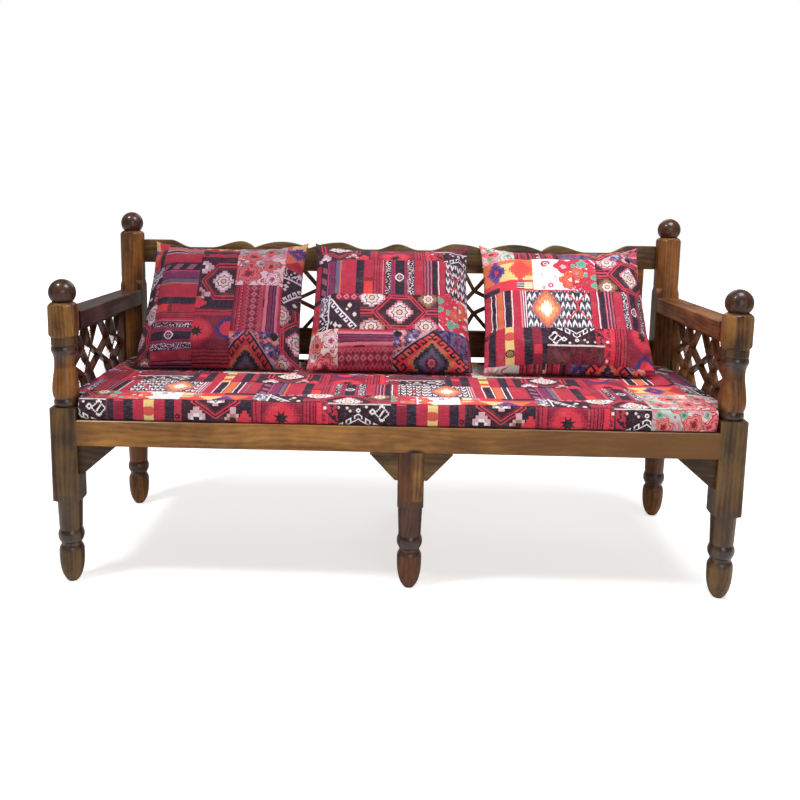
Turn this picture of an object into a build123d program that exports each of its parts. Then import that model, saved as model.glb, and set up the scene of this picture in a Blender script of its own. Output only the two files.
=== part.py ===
"""Persian takht: a three-seat wooden day-bench with turned posts, a lattice back and lattice arms.

Millimetres. The origin is on the floor, under the middle of the bench. +Z is up, -Y is the front,
and +X is to the right of a person who faces the bench, which is also what left and right mean here.
"""

import os
from math import atan2, degrees, hypot

from build123d import *

# ---------------------------------------------------------------- driving dimensions

# Posts: spacing between centres, and the square stock that they are turned from
POST_SPAN_X = 1740.0
POST_SPAN_Y = 628.0
POST_WIDTH = 69.0
POST_ARRIS = 3.0            # small chamfer along the edges of the square stock
BLOCK_CHAMFER = 17.0        # broad chamfer that makes the top blocks eight-sided
FRONT_POST_RISE = 27.0      # top of a front post's block above the arm rail
REAR_POST_RISE = 103.0      # top of a rear post's block above the top rail's lower edge

# Turned leg, heights above the floor and radii
FOOT_TIP_RADIUS = 12.0
BULB_RADIUS = 33.0
BULB_HEIGHT = 84.0
COVE_RADIUS = 27.0
COVE_HEIGHT = 104.0
RING_RADIUS = 34.2
RING_BOTTOM = 111.0
RING_TOP = 148.0
ANKLE_RADIUS = 30.0
SHANK_RADIUS = 33.0
LEG_SHOULDER_BOTTOM = 230.0
LEG_SHOULDER_HEIGHT = 18.0

# Baluster of the front posts, between the square stock above the seat and the top block
STOCK_ABOVE_SEAT = 33.0
COLLAR_HEIGHT = 21.0
COLLAR_RADIUS = 31.5
BELLY_RADIUS = 34.2
BELLY_RISE = 33.0           # widest place above the collar
WAIST_RADIUS = 27.0
WAIST_DROP = 25.0           # narrowest place below the bead
BEAD_HEIGHT = 20.0
BEAD_RADIUS = 34.0
REEL_HEIGHT = 22.0
REEL_RADIUS = 33.0
BLOCK_BELOW_ARM = 18.0
BLOCK_SHOULDER = 18.0
COLLAR_SHOULDER = 6.0

# Turned shoulders of the top blocks
CROWN_RADIUS = 27.0
CROWN_HEIGHT = 18.0
REAR_BLOCK_GAP = 14.0       # square stock left above the arm rail before the broad chamfers
CHAMFER_STOP = 16.0

# Ball finials
BALL_RADIUS = 35.0
BALL_SINK = 10.0            # depth of the flat cut under the ball
SPIGOT_RADIUS = 8.0
SPIGOT_LENGTH = 30.0

# Middle legs, which stand off the centre line
MIDDLE_LEG_X = 46.0
MIDDLE_LEG_INSET = 14.0     # further in from the seat edge than the posts

# Seat frame
SEAT_RAIL_TOP = 454.0
SEAT_RAIL_HEIGHT = 69.0
SEAT_RAIL_THICKNESS = 30.0
RAIL_INSET = 3.0            # set back of the rails from the posts' outer faces
RAIL_ARRIS = 2.0
SLAT_COUNT = 12
SLAT_WIDTH = 95.0
SLAT_THICKNESS = 16.0
SLAT_END_GAP = 1.0
CLEAT_SIZE = 25.0
BEARER_WIDTH = 40.0
BEARER_HEIGHT = 50.0

# Brackets under the front rail
BRACKET_THICKNESS = 20.0
CORNER_BRACKET_WIDTH = 95.0
CORNER_BRACKET_DROP = 82.0
MIDDLE_BRACKET_WIDTH = 74.0
MIDDLE_BRACKET_DROP = 78.0
BRACKET_NOSE = 8.0          # blunt end of each bracket's point
SCREW_SHANK_RADIUS = 2.0
SCREW_HEAD_RADIUS = 4.0
SCREW_HEAD_HEIGHT = 2.5
SCREW_LENGTH = 60.0
SCREW_SHARES = (0.2, 0.8)   # places along a bracket's slope
BRACKET_SETBACK = 2.0       # bracket's face behind the middle leg's face

# Arms
ARM_RAIL_HEIGHT = 47.0
ARM_PANEL_INSET = 4.0       # from the posts' outer faces to the panel's face

# Back
BACK_RAIL_THICKNESS = 24.0
BACK_RAIL_INSET = 1.0
TOP_RAIL_BOTTOM = 824.0
TOP_RAIL_END_HEIGHT = 74.0
BOTTOM_RAIL_HEIGHT = 66.0
SCALLOP_CREST = 72.0        # heights above the top rail's lower edge
SCALLOP_PEAK = 69.0
SCALLOP_VALLEY = 50.5
SCALLOP_NOTCH = 52.0
# Places along the scalloped edge, from the middle, as shares of the half rail
MIDDLE_VALLEY = (0.086, 0.126)
INNER_HUMP = 0.225
FIRST_NOTCH = 0.348
OUTER_HUMP = 0.456
SECOND_NOTCH = 0.563
SIDE_PEAK = 0.617
SIDE_VALLEY = (0.738, 0.817)
END_SHOULDER = 0.900

# Lattice panels
LATTICE_HEIGHT = 191.0
BACK_MOTIFS = 7
ARM_MOTIFS = 2
LATH_WIDTH = 12.0
LATH_THICKNESS = 16.0
NODE_OFFSET_X = 32.6        # where the laths of one motif meet, from its middle
NODE_OFFSET_Z = 36.9
PANEL_BAR = 22.0
PANEL_STILE = 25.0
PANEL_END_GAP = 36.0        # open gap between a panel and the post beside it
PANEL_THICKNESS = 22.0
TONGUE_THICKNESS = 8.0
TONGUE_HEIGHT = 6.0

# Joints
TENON_THICKNESS = 12.0
TENON_SHOULDER = 10.0
TENON_LENGTH = 36.0
PANEL_TENON_LENGTH = 10.0
PANEL_TENON_SHOULDER = 4.0
JOINT_CLEARANCE = 0.15
JOINT_END_GAP = 0.8

# Loose upholstery
SOFT_GAP = 0.3
MATTRESS_THICKNESS = 64.0
MATTRESS_SIDE_GAP = 8.0
MATTRESS_FRONT_INSET = 6.0
MATTRESS_POST_GAP = 4.0
MATTRESS_BACK_GAP = 6.0
MATTRESS_EDGE = 6.0
CUSHION_GAPS = (45.0, 10.0, 35.0, 65.0)     # post to cushion, cushion to cushion, cushion to post
CUSHION_HEIGHT = 480.0
CUSHION_THICKNESS = 124.0
CUSHION_EDGE = 12.0
CUSHION_LEAN = 38.0         # degrees back from upright

# ---------------------------------------------------------------- places worked out from them

POST_X = POST_SPAN_X / 2
POST_Y = POST_SPAN_Y / 2
POST_HALF = POST_WIDTH / 2
BAY_X = POST_X - POST_HALF              # inner face of a post, along X
BAY_Y = POST_Y - POST_HALF
OUTER_X = POST_X + POST_HALF
OUTER_Y = POST_Y + POST_HALF
CLEAR_RADIUS = POST_WIDTH               # beyond the corners of the square stock

SEAT_RAIL_BOTTOM = SEAT_RAIL_TOP - SEAT_RAIL_HEIGHT
SEAT_RAIL_Y = OUTER_Y - RAIL_INSET - SEAT_RAIL_THICKNESS / 2
SEAT_RAIL_X = OUTER_X - RAIL_INSET - SEAT_RAIL_THICKNESS / 2
SLAT_BOTTOM = SEAT_RAIL_TOP - SLAT_THICKNESS
DECK_Y = SEAT_RAIL_Y - SEAT_RAIL_THICKNESS / 2

PANEL_HEIGHT = LATTICE_HEIGHT + 2 * PANEL_BAR
BACK_PITCH = 2 * (BAY_X - PANEL_END_GAP - PANEL_STILE) / BACK_MOTIFS
ARM_PITCH = 2 * (BAY_Y - PANEL_END_GAP - PANEL_STILE) / ARM_MOTIFS

ARM_RAIL_BOTTOM = SEAT_RAIL_TOP + PANEL_HEIGHT
ARM_RAIL_TOP = ARM_RAIL_BOTTOM + ARM_RAIL_HEIGHT
ARM_PANEL_X = OUTER_X - ARM_PANEL_INSET - PANEL_THICKNESS / 2

BACK_Y = OUTER_Y - BACK_RAIL_INSET - BACK_RAIL_THICKNESS / 2
BOTTOM_RAIL_TOP = TOP_RAIL_BOTTOM - PANEL_HEIGHT

FRONT_POST_TOP = ARM_RAIL_TOP + FRONT_POST_RISE
REAR_POST_TOP = TOP_RAIL_BOTTOM + REAR_POST_RISE
SHOULDER_TOP = LEG_SHOULDER_BOTTOM + LEG_SHOULDER_HEIGHT
BALUSTER_BOTTOM = SEAT_RAIL_TOP + STOCK_ABOVE_SEAT
COLLAR_TOP = BALUSTER_BOTTOM + COLLAR_HEIGHT
BLOCK_BOTTOM = ARM_RAIL_BOTTOM - BLOCK_BELOW_ARM
BEAD_TOP = BLOCK_BOTTOM - REEL_HEIGHT
BEAD_BOTTOM = BEAD_TOP - BEAD_HEIGHT

MIDDLE_LEG_Y = POST_Y - MIDDLE_LEG_INSET
MATTRESS_BOTTOM = SEAT_RAIL_TOP + SOFT_GAP
MATTRESS_TOP = MATTRESS_BOTTOM + MATTRESS_THICKNESS
CUSHION_WIDTH = (2 * BAY_X - sum(CUSHION_GAPS)) / 3

SIDES = {"left": -1, "right": 1}
ROWS = {"front": -1, "rear": 1}


# ---------------------------------------------------------------- helpers

def block(x_range, y_range, z_range):
    """A box between two limits along each axis."""
    middles = [(low + high) / 2 for low, high in (x_range, y_range, z_range)]
    sizes = [high - low for low, high in (x_range, y_range, z_range)]
    return Pos(*middles) * Box(*sizes)


def span(middle, size):
    """The two limits of a size set about its middle."""
    return (middle - size / 2, middle + size / 2)


def ogee(start, end):
    """An S-curve that leaves and arrives level."""
    return Spline(start, end, tangents=((1, 0), (1, 0)))


def turned(edges):
    """Revolve an outline of (radius, height) edges about the post's own axis."""
    return revolve(Plane.XZ * make_face(edges), Axis.Z)


def clear_line(low, high):
    """Stretch of a turned outline that leaves the square stock as it is."""
    return Line((CLEAR_RADIUS, low), (CLEAR_RADIUS, high))


# ---------------------------------------------------------------- posts and middle legs

def leg_outline():
    """Foot, ring and shank of a turned leg, up to its shoulder under the square stock."""
    ring_middle = (RING_BOTTOM + RING_TOP) / 2
    shoulder_middle = LEG_SHOULDER_BOTTOM + LEG_SHOULDER_HEIGHT * 0.3
    return [
        Line((0, 0), (FOOT_TIP_RADIUS, 0)),
        Spline((FOOT_TIP_RADIUS, 0), (BULB_RADIUS, BULB_HEIGHT), tangents=((1, 0.9), (0, 1))),
        ThreePointArc(
            (BULB_RADIUS, BULB_HEIGHT),
            (BULB_RADIUS - 1.5, (BULB_HEIGHT + COVE_HEIGHT) / 2 + 2),
            (COVE_RADIUS, COVE_HEIGHT)),
        Line((COVE_RADIUS, COVE_HEIGHT), (COVE_RADIUS, RING_BOTTOM)),
        ThreePointArc((COVE_RADIUS, RING_BOTTOM), (RING_RADIUS, ring_middle), (ANKLE_RADIUS, RING_TOP)),
        Line((ANKLE_RADIUS, RING_TOP), (SHANK_RADIUS, LEG_SHOULDER_BOTTOM)),
        ThreePointArc(
            (SHANK_RADIUS, LEG_SHOULDER_BOTTOM),
            ((SHANK_RADIUS + CLEAR_RADIUS) / 2, shoulder_middle),
            (CLEAR_RADIUS, SHOULDER_TOP)),
    ]


def baluster_outline():
    """Turned part of a front post, between its square stock and its top block."""
    neck = COLLAR_RADIUS - 2
    lip = BEAD_RADIUS - 2.5
    block_radius = POST_HALF + 6
    return [
        Line((CLEAR_RADIUS, BALUSTER_BOTTOM - COLLAR_SHOULDER), (POST_HALF, BALUSTER_BOTTOM)),
        Line((POST_HALF, BALUSTER_BOTTOM), (neck, BALUSTER_BOTTOM)),
        ThreePointArc(
            (neck, BALUSTER_BOTTOM),
            (COLLAR_RADIUS, BALUSTER_BOTTOM + COLLAR_HEIGHT / 2),
            (neck, COLLAR_TOP)),
        Spline(
            (neck, COLLAR_TOP), (BELLY_RADIUS, COLLAR_TOP + BELLY_RISE),
            (WAIST_RADIUS, BEAD_BOTTOM - WAIST_DROP), (lip, BEAD_BOTTOM),
            tangents=((0.7, 1), (0.5, 1))),
        ThreePointArc(
            (lip, BEAD_BOTTOM), (BEAD_RADIUS, BEAD_BOTTOM + BEAD_HEIGHT / 2), (lip, BEAD_TOP)),
        Line((lip, BEAD_TOP), (REEL_RADIUS, BEAD_TOP + 2)),
        Line((REEL_RADIUS, BEAD_TOP + 2), (REEL_RADIUS, BLOCK_BOTTOM)),
        ThreePointArc(
            (REEL_RADIUS, BLOCK_BOTTOM), (POST_HALF + 3, BLOCK_BOTTOM + BLOCK_SHOULDER / 3),
            (block_radius, BLOCK_BOTTOM + BLOCK_SHOULDER)),
        Line(
            (block_radius, BLOCK_BOTTOM + BLOCK_SHOULDER), (CLEAR_RADIUS, BLOCK_BOTTOM + BLOCK_SHOULDER)),
    ]


def crown_outline(top):
    """Turned shoulder that closes the top of a block, back to the axis."""
    return [
        Line((CLEAR_RADIUS, top - CROWN_HEIGHT), (POST_HALF + 5, top - CROWN_HEIGHT)),
        ThreePointArc((POST_HALF + 5, top - CROWN_HEIGHT), (POST_HALF, top - 5), (CROWN_RADIUS, top)),
        Line((CROWN_RADIUS, top), (0, top)),
        Line((0, top), (0, 0)),
    ]


def corner_waste(leg):
    """What a chamfer of the given leg takes off a corner at the origin, in plan."""
    reach = 1.0
    corners = [(reach, reach), (-leg, reach), (-leg, 0), (0, -leg), (reach, -leg)]
    return make_face(Polyline(*corners, close=True))


def post_stock(top, eight_sided_from=None):
    """Square stock with its arrises eased, and eight-sided above a given height."""
    stock = block(span(0, POST_WIDTH), span(0, POST_WIDTH), (0, top))
    stock = chamfer(stock.edges().filter_by(Axis.Z), POST_ARRIS)
    if eight_sided_from is None:
        return stock
    corner = Pos(POST_HALF, POST_HALF, eight_sided_from)
    low = corner * corner_waste(POST_ARRIS)
    high = Pos(0, 0, CHAMFER_STOP) * corner * corner_waste(BLOCK_CHAMFER)
    waste = loft([low, high]) + extrude(high, top - eight_sided_from)
    for quarter in range(4):
        stock -= Rot(0, 0, 90 * quarter) * waste
    return stock


def front_post():
    """Front post: turned leg, square stock, baluster and eight-sided top block."""
    outline = leg_outline()
    outline += [clear_line(SHOULDER_TOP, BALUSTER_BOTTOM - COLLAR_SHOULDER)]
    outline += baluster_outline()
    outline += [clear_line(BLOCK_BOTTOM + BLOCK_SHOULDER, FRONT_POST_TOP - CROWN_HEIGHT)]
    outline += crown_outline(FRONT_POST_TOP)
    return post_stock(FRONT_POST_TOP, BEAD_BOTTOM - WAIST_DROP) & turned(outline)


def rear_post():
    """Rear post: turned leg, square stock up to the arm, eight-sided above it."""
    outline = leg_outline()
    outline += [clear_line(SHOULDER_TOP, REAR_POST_TOP - CROWN_HEIGHT)]
    outline += crown_outline(REAR_POST_TOP)
    return post_stock(REAR_POST_TOP, ARM_RAIL_TOP + REAR_BLOCK_GAP) & turned(outline)


def middle_leg():
    """Middle leg: turned below, square above, rebated round the back of the seat rail."""
    outline = leg_outline()
    outline += [
        clear_line(SHOULDER_TOP, SLAT_BOTTOM),
        Line((CLEAR_RADIUS, SLAT_BOTTOM), (0, SLAT_BOTTOM)),
        Line((0, SLAT_BOTTOM), (0, 0)),
    ]
    leg = post_stock(SLAT_BOTTOM) & turned(outline)
    rail_depth = (-POST_WIDTH, MIDDLE_LEG_Y - DECK_Y)
    return leg - block(span(0, 2 * POST_WIDTH), rail_depth, (SEAT_RAIL_BOTTOM, SEAT_RAIL_TOP))


def ball_finial():
    """Ball with a flat seat and the round spigot under it; its origin is on the seat."""
    seat_radius = (BALL_RADIUS ** 2 - (BALL_RADIUS - BALL_SINK) ** 2) ** 0.5
    ball = Pos(0, 0, BALL_RADIUS - BALL_SINK) * Sphere(BALL_RADIUS)
    ball &= block(span(0, 4 * seat_radius), span(0, 4 * seat_radius), (0, 2 * BALL_RADIUS))
    return ball + Pos(0, 0, -SPIGOT_LENGTH / 2) * Cylinder(SPIGOT_RADIUS, SPIGOT_LENGTH)


# ---------------------------------------------------------------- rails with tenons

class Rail:
    """A straight rail along local X, shouldered at both ends, with a tenon on each."""

    def __init__(self, place, length, depth, height, tenon_height=None, tenon_drop=0.0):
        self.place = place
        self.length = length
        self.depth = depth
        self.height = height
        self.tenon_height = tenon_height or height - 2 * TENON_SHOULDER
        self.tenon_drop = tenon_drop

    def tenon_bar(self, extra_length=0.0, extra_size=0.0):
        bar = Box(
            self.length + 2 * (TENON_LENGTH + extra_length),
            TENON_THICKNESS + 2 * extra_size,
            self.tenon_height + 2 * extra_size)
        return Pos(0, 0, -self.tenon_drop) * bar

    def solid(self, body=None):
        """The rail in its place, from its own body or a plain bar with eased edges."""
        if body is None:
            body = Box(self.length, self.depth, self.height)
            body = chamfer(body.edges().filter_by(Axis.X), RAIL_ARRIS)
        return self.place * (body + self.tenon_bar())

    def mortises(self):
        """What the tenons take out of the posts, with their clearance."""
        return self.place * self.tenon_bar(JOINT_END_GAP, JOINT_CLEARANCE)


def along_x(y, z_middle):
    return Pos(0, y, z_middle)


def along_y(x, z_middle):
    return Pos(x, 0, z_middle) * Rot(0, 0, 90)


def seat_rails():
    z_middle = SEAT_RAIL_TOP - SEAT_RAIL_HEIGHT / 2
    size = (SEAT_RAIL_THICKNESS, SEAT_RAIL_HEIGHT)
    rails = {}
    for row, sign in ROWS.items():
        rails[row] = Rail(along_x(sign * SEAT_RAIL_Y, z_middle), 2 * BAY_X, *size)
    for side, sign in SIDES.items():
        rails[side] = Rail(along_y(sign * SEAT_RAIL_X, z_middle), 2 * BAY_Y, *size)
    return rails


def arm_rails():
    z_middle = ARM_RAIL_TOP - ARM_RAIL_HEIGHT / 2
    return {side: Rail(along_y(sign * POST_X, z_middle), 2 * BAY_Y, POST_WIDTH, ARM_RAIL_HEIGHT)
            for side, sign in SIDES.items()}


def back_rails():
    top_middle = TOP_RAIL_BOTTOM + TOP_RAIL_END_HEIGHT / 2
    bottom_middle = BOTTOM_RAIL_TOP - BOTTOM_RAIL_HEIGHT / 2
    size = (2 * BAY_X, BACK_RAIL_THICKNESS)
    return {
        "top": Rail(along_x(BACK_Y, top_middle), *size, TOP_RAIL_END_HEIGHT),
        "bottom": Rail(along_x(BACK_Y, bottom_middle), *size, BOTTOM_RAIL_HEIGHT),
    }


def scalloped_body():
    """Top rail's board: level lower edge, and an upper edge of humps, notches and ogee peaks."""
    bottom = -TOP_RAIL_END_HEIGHT / 2
    crest, peak, valley, notch = (
        bottom + height for height in (SCALLOP_CREST, SCALLOP_PEAK, SCALLOP_VALLEY, SCALLOP_NOTCH))
    end = bottom + TOP_RAIL_END_HEIGHT
    inner_hump = (INNER_HUMP * BAY_X, crest)
    first_notch = (FIRST_NOTCH * BAY_X, notch)
    second_notch = (SECOND_NOTCH * BAY_X, notch)
    side_peak = (SIDE_PEAK * BAY_X, crest)
    middle_valley = [(share * BAY_X, valley) for share in MIDDLE_VALLEY]
    side_valley = [(share * BAY_X, valley) for share in SIDE_VALLEY]
    end_shoulder = (END_SHOULDER * BAY_X, end)
    half = make_face([
        Line((0, bottom), (0, peak)),
        ogee((0, peak), middle_valley[0]),
        Line(*middle_valley),
        ogee(middle_valley[1], inner_hump),
        TangentArc(inner_hump, first_notch, tangent=(1, 0)),
        ThreePointArc(first_notch, (OUTER_HUMP * BAY_X, crest), second_notch),
        TangentArc(side_peak, second_notch, tangent=(-1, 0)),
        ogee(side_peak, side_valley[0]),
        Line(*side_valley),
        ogee(side_valley[1], end_shoulder),
        Polyline(end_shoulder, (BAY_X, end), (BAY_X, bottom), (0, bottom)),
    ])
    outline = Plane.XZ * (half + mirror(half, Plane.YZ))
    return extrude(outline, BACK_RAIL_THICKNESS / 2, both=True)


# ---------------------------------------------------------------- lattice panels

def lath(start, end, overrun=0.0):
    """A straight lath between two points (u, v) of a panel, as an oversize bar."""
    run = (end[0] - start[0], end[1] - start[1])
    middle = Pos((start[0] + end[0]) / 2, 0, (start[1] + end[1]) / 2)
    bar = Box(hypot(*run) + 2 * overrun, LATH_THICKNESS, LATH_WIDTH)
    return middle * Rot(0, -degrees(atan2(run[1], run[0])), 0) * bar


def halved(rising, falling):
    """Half-lap two crossing laths: the rising one keeps its front, the falling one its back."""
    reach = POST_SPAN_Y
    back_half = block((-reach, reach), (0, LATH_THICKNESS), (-reach, reach))
    front_half = block((-reach, reach), (-LATH_THICKNESS, 0), (-reach, reach))
    return rising - (falling & back_half), falling - (rising & front_half)


def lattice(motifs, pitch):
    """All laths of a panel about its middle, by kind."""
    field = Box(motifs * pitch, LATH_THICKNESS * 2, LATTICE_HEIGHT)
    node_x, node_z = NODE_OFFSET_X, NODE_OFFSET_Z
    edge_z = LATTICE_HEIGHT / 2
    edge_x = edge_z * node_x / node_z

    # Two cross laths run from bar to bar through the middle of each motif
    rising = lath((-edge_x, -edge_z), (edge_x, edge_z), LATH_WIDTH * 2)
    falling = lath((-edge_x, edge_z), (edge_x, -edge_z), LATH_WIDTH * 2)
    cross = [piece & field for piece in halved(rising, falling)]

    # Four short laths lean from the nodes and meet in mitres over and under the middle
    upper_right = block((0, pitch), (-LATH_THICKNESS, LATH_THICKNESS), (0, edge_z))
    apex = lath((node_x, node_z), (0, edge_z), LATH_WIDTH)
    apex = ((apex & upper_right) - rising).solids().sort_by(Axis.Z)[-1]
    upper = [apex, mirror(apex, Plane.YZ)]
    apexes = upper + [mirror(piece, Plane.XY) for piece in upper]

    # Two flat-lying laths link the nodes of one motif to those of the next
    next_motif = Pos(pitch, 0, 0)
    link_falling = lath((node_x, node_z), (pitch - node_x, -node_z)) - rising - next_motif * rising
    link_rising = lath((node_x, -node_z), (pitch - node_x, node_z)) - falling - next_motif * falling
    links = halved(link_rising, link_falling)

    places = [Pos(pitch * (index - (motifs - 1) / 2), 0, 0) for index in range(motifs)]
    before_first = Pos(-pitch * (motifs + 1) / 2, 0, 0)
    whole_links = [place * piece for place in places[:-1] for piece in links]
    end_links = [place * piece & field for place in (before_first, places[-1]) for piece in links]
    return {
        "cross_laths": [place * piece for place in places for piece in cross],
        "apex_laths": [place * piece for place in places for piece in apexes],
        "link_laths": whole_links + end_links,
    }


def panel_width(motifs, pitch):
    return motifs * pitch + 2 * PANEL_STILE


def tongue(width, extra=0.0):
    """Tongue along the outer edge of a panel bar; with extra, the groove that takes it."""
    return Box(width + 4 * extra, TONGUE_THICKNESS + 2 * extra, 2 * (TONGUE_HEIGHT + 2 * extra))


def panel(motifs, pitch):
    """A framed lattice panel about its middle: bars, stiles and laths, by name."""
    edge = LATTICE_HEIGHT / 2
    width = panel_width(motifs, pitch)
    stile_x = (width - PANEL_STILE) / 2
    bar = Pos(0, 0, edge + PANEL_BAR / 2) * Box(width, PANEL_THICKNESS, PANEL_BAR)
    bar += Pos(0, 0, edge + PANEL_BAR) * tongue(width)
    stile = Box(PANEL_STILE, PANEL_THICKNESS, LATTICE_HEIGHT)
    tenon_width = PANEL_STILE - 2 * PANEL_TENON_SHOULDER
    stile += Box(tenon_width, TONGUE_THICKNESS, LATTICE_HEIGHT + 2 * PANEL_TENON_LENGTH)
    mortise = Box(
        tenon_width + 2 * JOINT_CLEARANCE,
        TONGUE_THICKNESS + 2 * JOINT_CLEARANCE,
        LATTICE_HEIGHT + 2 * (PANEL_TENON_LENGTH + JOINT_END_GAP))
    for x in (-stile_x, stile_x):
        bar -= Pos(x, 0, 0) * mortise
    return {
        "top_bar": bar,
        "bottom_bar": mirror(bar, Plane.XY),
        "stile_low": Pos(-stile_x, 0, 0) * stile,
        "stile_high": Pos(stile_x, 0, 0) * stile,
    } | lattice(motifs, pitch)


# ---------------------------------------------------------------- seat deck and brackets

def slats():
    pitch = (2 * (BAY_X - SLAT_END_GAP) - SLAT_WIDTH) / (SLAT_COUNT - 1)
    first = -pitch * (SLAT_COUNT - 1) / 2
    across = ((-DECK_Y, DECK_Y), (SLAT_BOTTOM, SEAT_RAIL_TOP))
    return [block(span(first + pitch * index, SLAT_WIDTH), *across) for index in range(SLAT_COUNT)]


def cleats():
    """Ledges screwed inside the long rails, broken by the middle legs."""
    runs = {
        "left": (-BAY_X, MIDDLE_LEG_X - POST_HALF),
        "right": (MIDDLE_LEG_X + POST_HALF, BAY_X),
    }
    z_range = (SLAT_BOTTOM - CLEAT_SIZE, SLAT_BOTTOM)
    made = {}
    for row, sign in ROWS.items():
        y_range = sorted((sign * DECK_Y, sign * (DECK_Y - CLEAT_SIZE)))
        for side, x_range in runs.items():
            made[f"seat_cleat_{row}_{side}"] = block(x_range, y_range, z_range)
    return made


def bearer():
    """Bearer under the slats, tenoned into the two middle legs."""
    inner = MIDDLE_LEG_Y - POST_HALF
    return Rail(
        Pos(MIDDLE_LEG_X, 0, SLAT_BOTTOM - BEARER_HEIGHT / 2) * Rot(0, 0, 90),
        2 * inner, BEARER_WIDTH, BEARER_HEIGHT)


def bracket(width, drop):
    """Triangular plate in the corner of local X and -Z, with blunt points."""
    outline = make_face(Polyline(
        (0, 0), (width, 0), (width, -BRACKET_NOSE), (BRACKET_NOSE, -drop), (0, -drop), close=True))
    return extrude(Plane.XZ * outline, BRACKET_THICKNESS / 2, both=True)


def bracket_screws(width, drop):
    """Two screws through the slope of a bracket, one up into the rail and one into the post."""
    slope = degrees(atan2(drop - BRACKET_NOSE, width - BRACKET_NOSE))
    head = Pos(0, 0, -SCREW_HEAD_HEIGHT / 2) * Cylinder(SCREW_HEAD_RADIUS, SCREW_HEAD_HEIGHT)
    screw = head + Pos(0, 0, -SCREW_LENGTH / 2) * Cylinder(SCREW_SHANK_RADIUS, SCREW_LENGTH)
    made = []
    for share in SCREW_SHARES:
        x = BRACKET_NOSE + share * (width - BRACKET_NOSE)
        z = -drop + share * (drop - BRACKET_NOSE)
        made.append(Pos(x, 0, z) * Rot(0, 180 - slope, 0) * screw)
    return made


# ---------------------------------------------------------------- loose upholstery

def mattress():
    """Thin mattress: full width between the arm panels, narrowed to pass between the front posts."""
    half_width = ARM_PANEL_X - PANEL_THICKNESS / 2 - MATTRESS_SIDE_GAP
    half_front = BAY_X - MATTRESS_POST_GAP
    front = -OUTER_Y + MATTRESS_FRONT_INSET
    notch = -BAY_Y + MATTRESS_POST_GAP
    back = BAY_Y - MATTRESS_BACK_GAP
    plan = make_face(Polyline(
        (-half_front, front), (half_front, front), (half_front, notch), (half_width, notch),
        (half_width, back), (-half_width, back), (-half_width, notch), (-half_front, notch), close=True))
    pad = extrude(Pos(0, 0, MATTRESS_BOTTOM) * plan, MATTRESS_THICKNESS)
    return chamfer(pad.edges().group_by(Axis.Z)[-1], MATTRESS_EDGE)


def lens(size):
    """Section of a filled cushion: two bowed faces that meet in a narrow edge."""
    half, edge, bulge = size / 2, CUSHION_EDGE / 2, CUSHION_THICKNESS / 2
    return make_face([
        Line((-half, -edge), (-half, edge)),
        ThreePointArc((-half, edge), (0, bulge), (half, edge)),
        Line((half, edge), (half, -edge)),
        ThreePointArc((half, -edge), (0, -bulge), (-half, -edge)),
    ])


def cushion(x):
    """Square cushion, leaning back on the top rail with its lower edge on the mattress."""
    across = extrude(Plane.XY * lens(CUSHION_WIDTH), CUSHION_HEIGHT / 2, both=True)
    upright = extrude(Plane.YZ * Rot(0, 0, 90) * lens(CUSHION_HEIGHT), CUSHION_WIDTH / 2, both=True)
    body = Rot(-CUSHION_LEAN, 0, 0) * (across & upright)
    box = body.bounding_box()
    back_face = BACK_Y - BACK_RAIL_THICKNESS / 2
    return Pos(x, back_face - SOFT_GAP - box.max.Y, MATTRESS_TOP + SOFT_GAP - box.min.Z) * body


# ---------------------------------------------------------------- assembly

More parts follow.
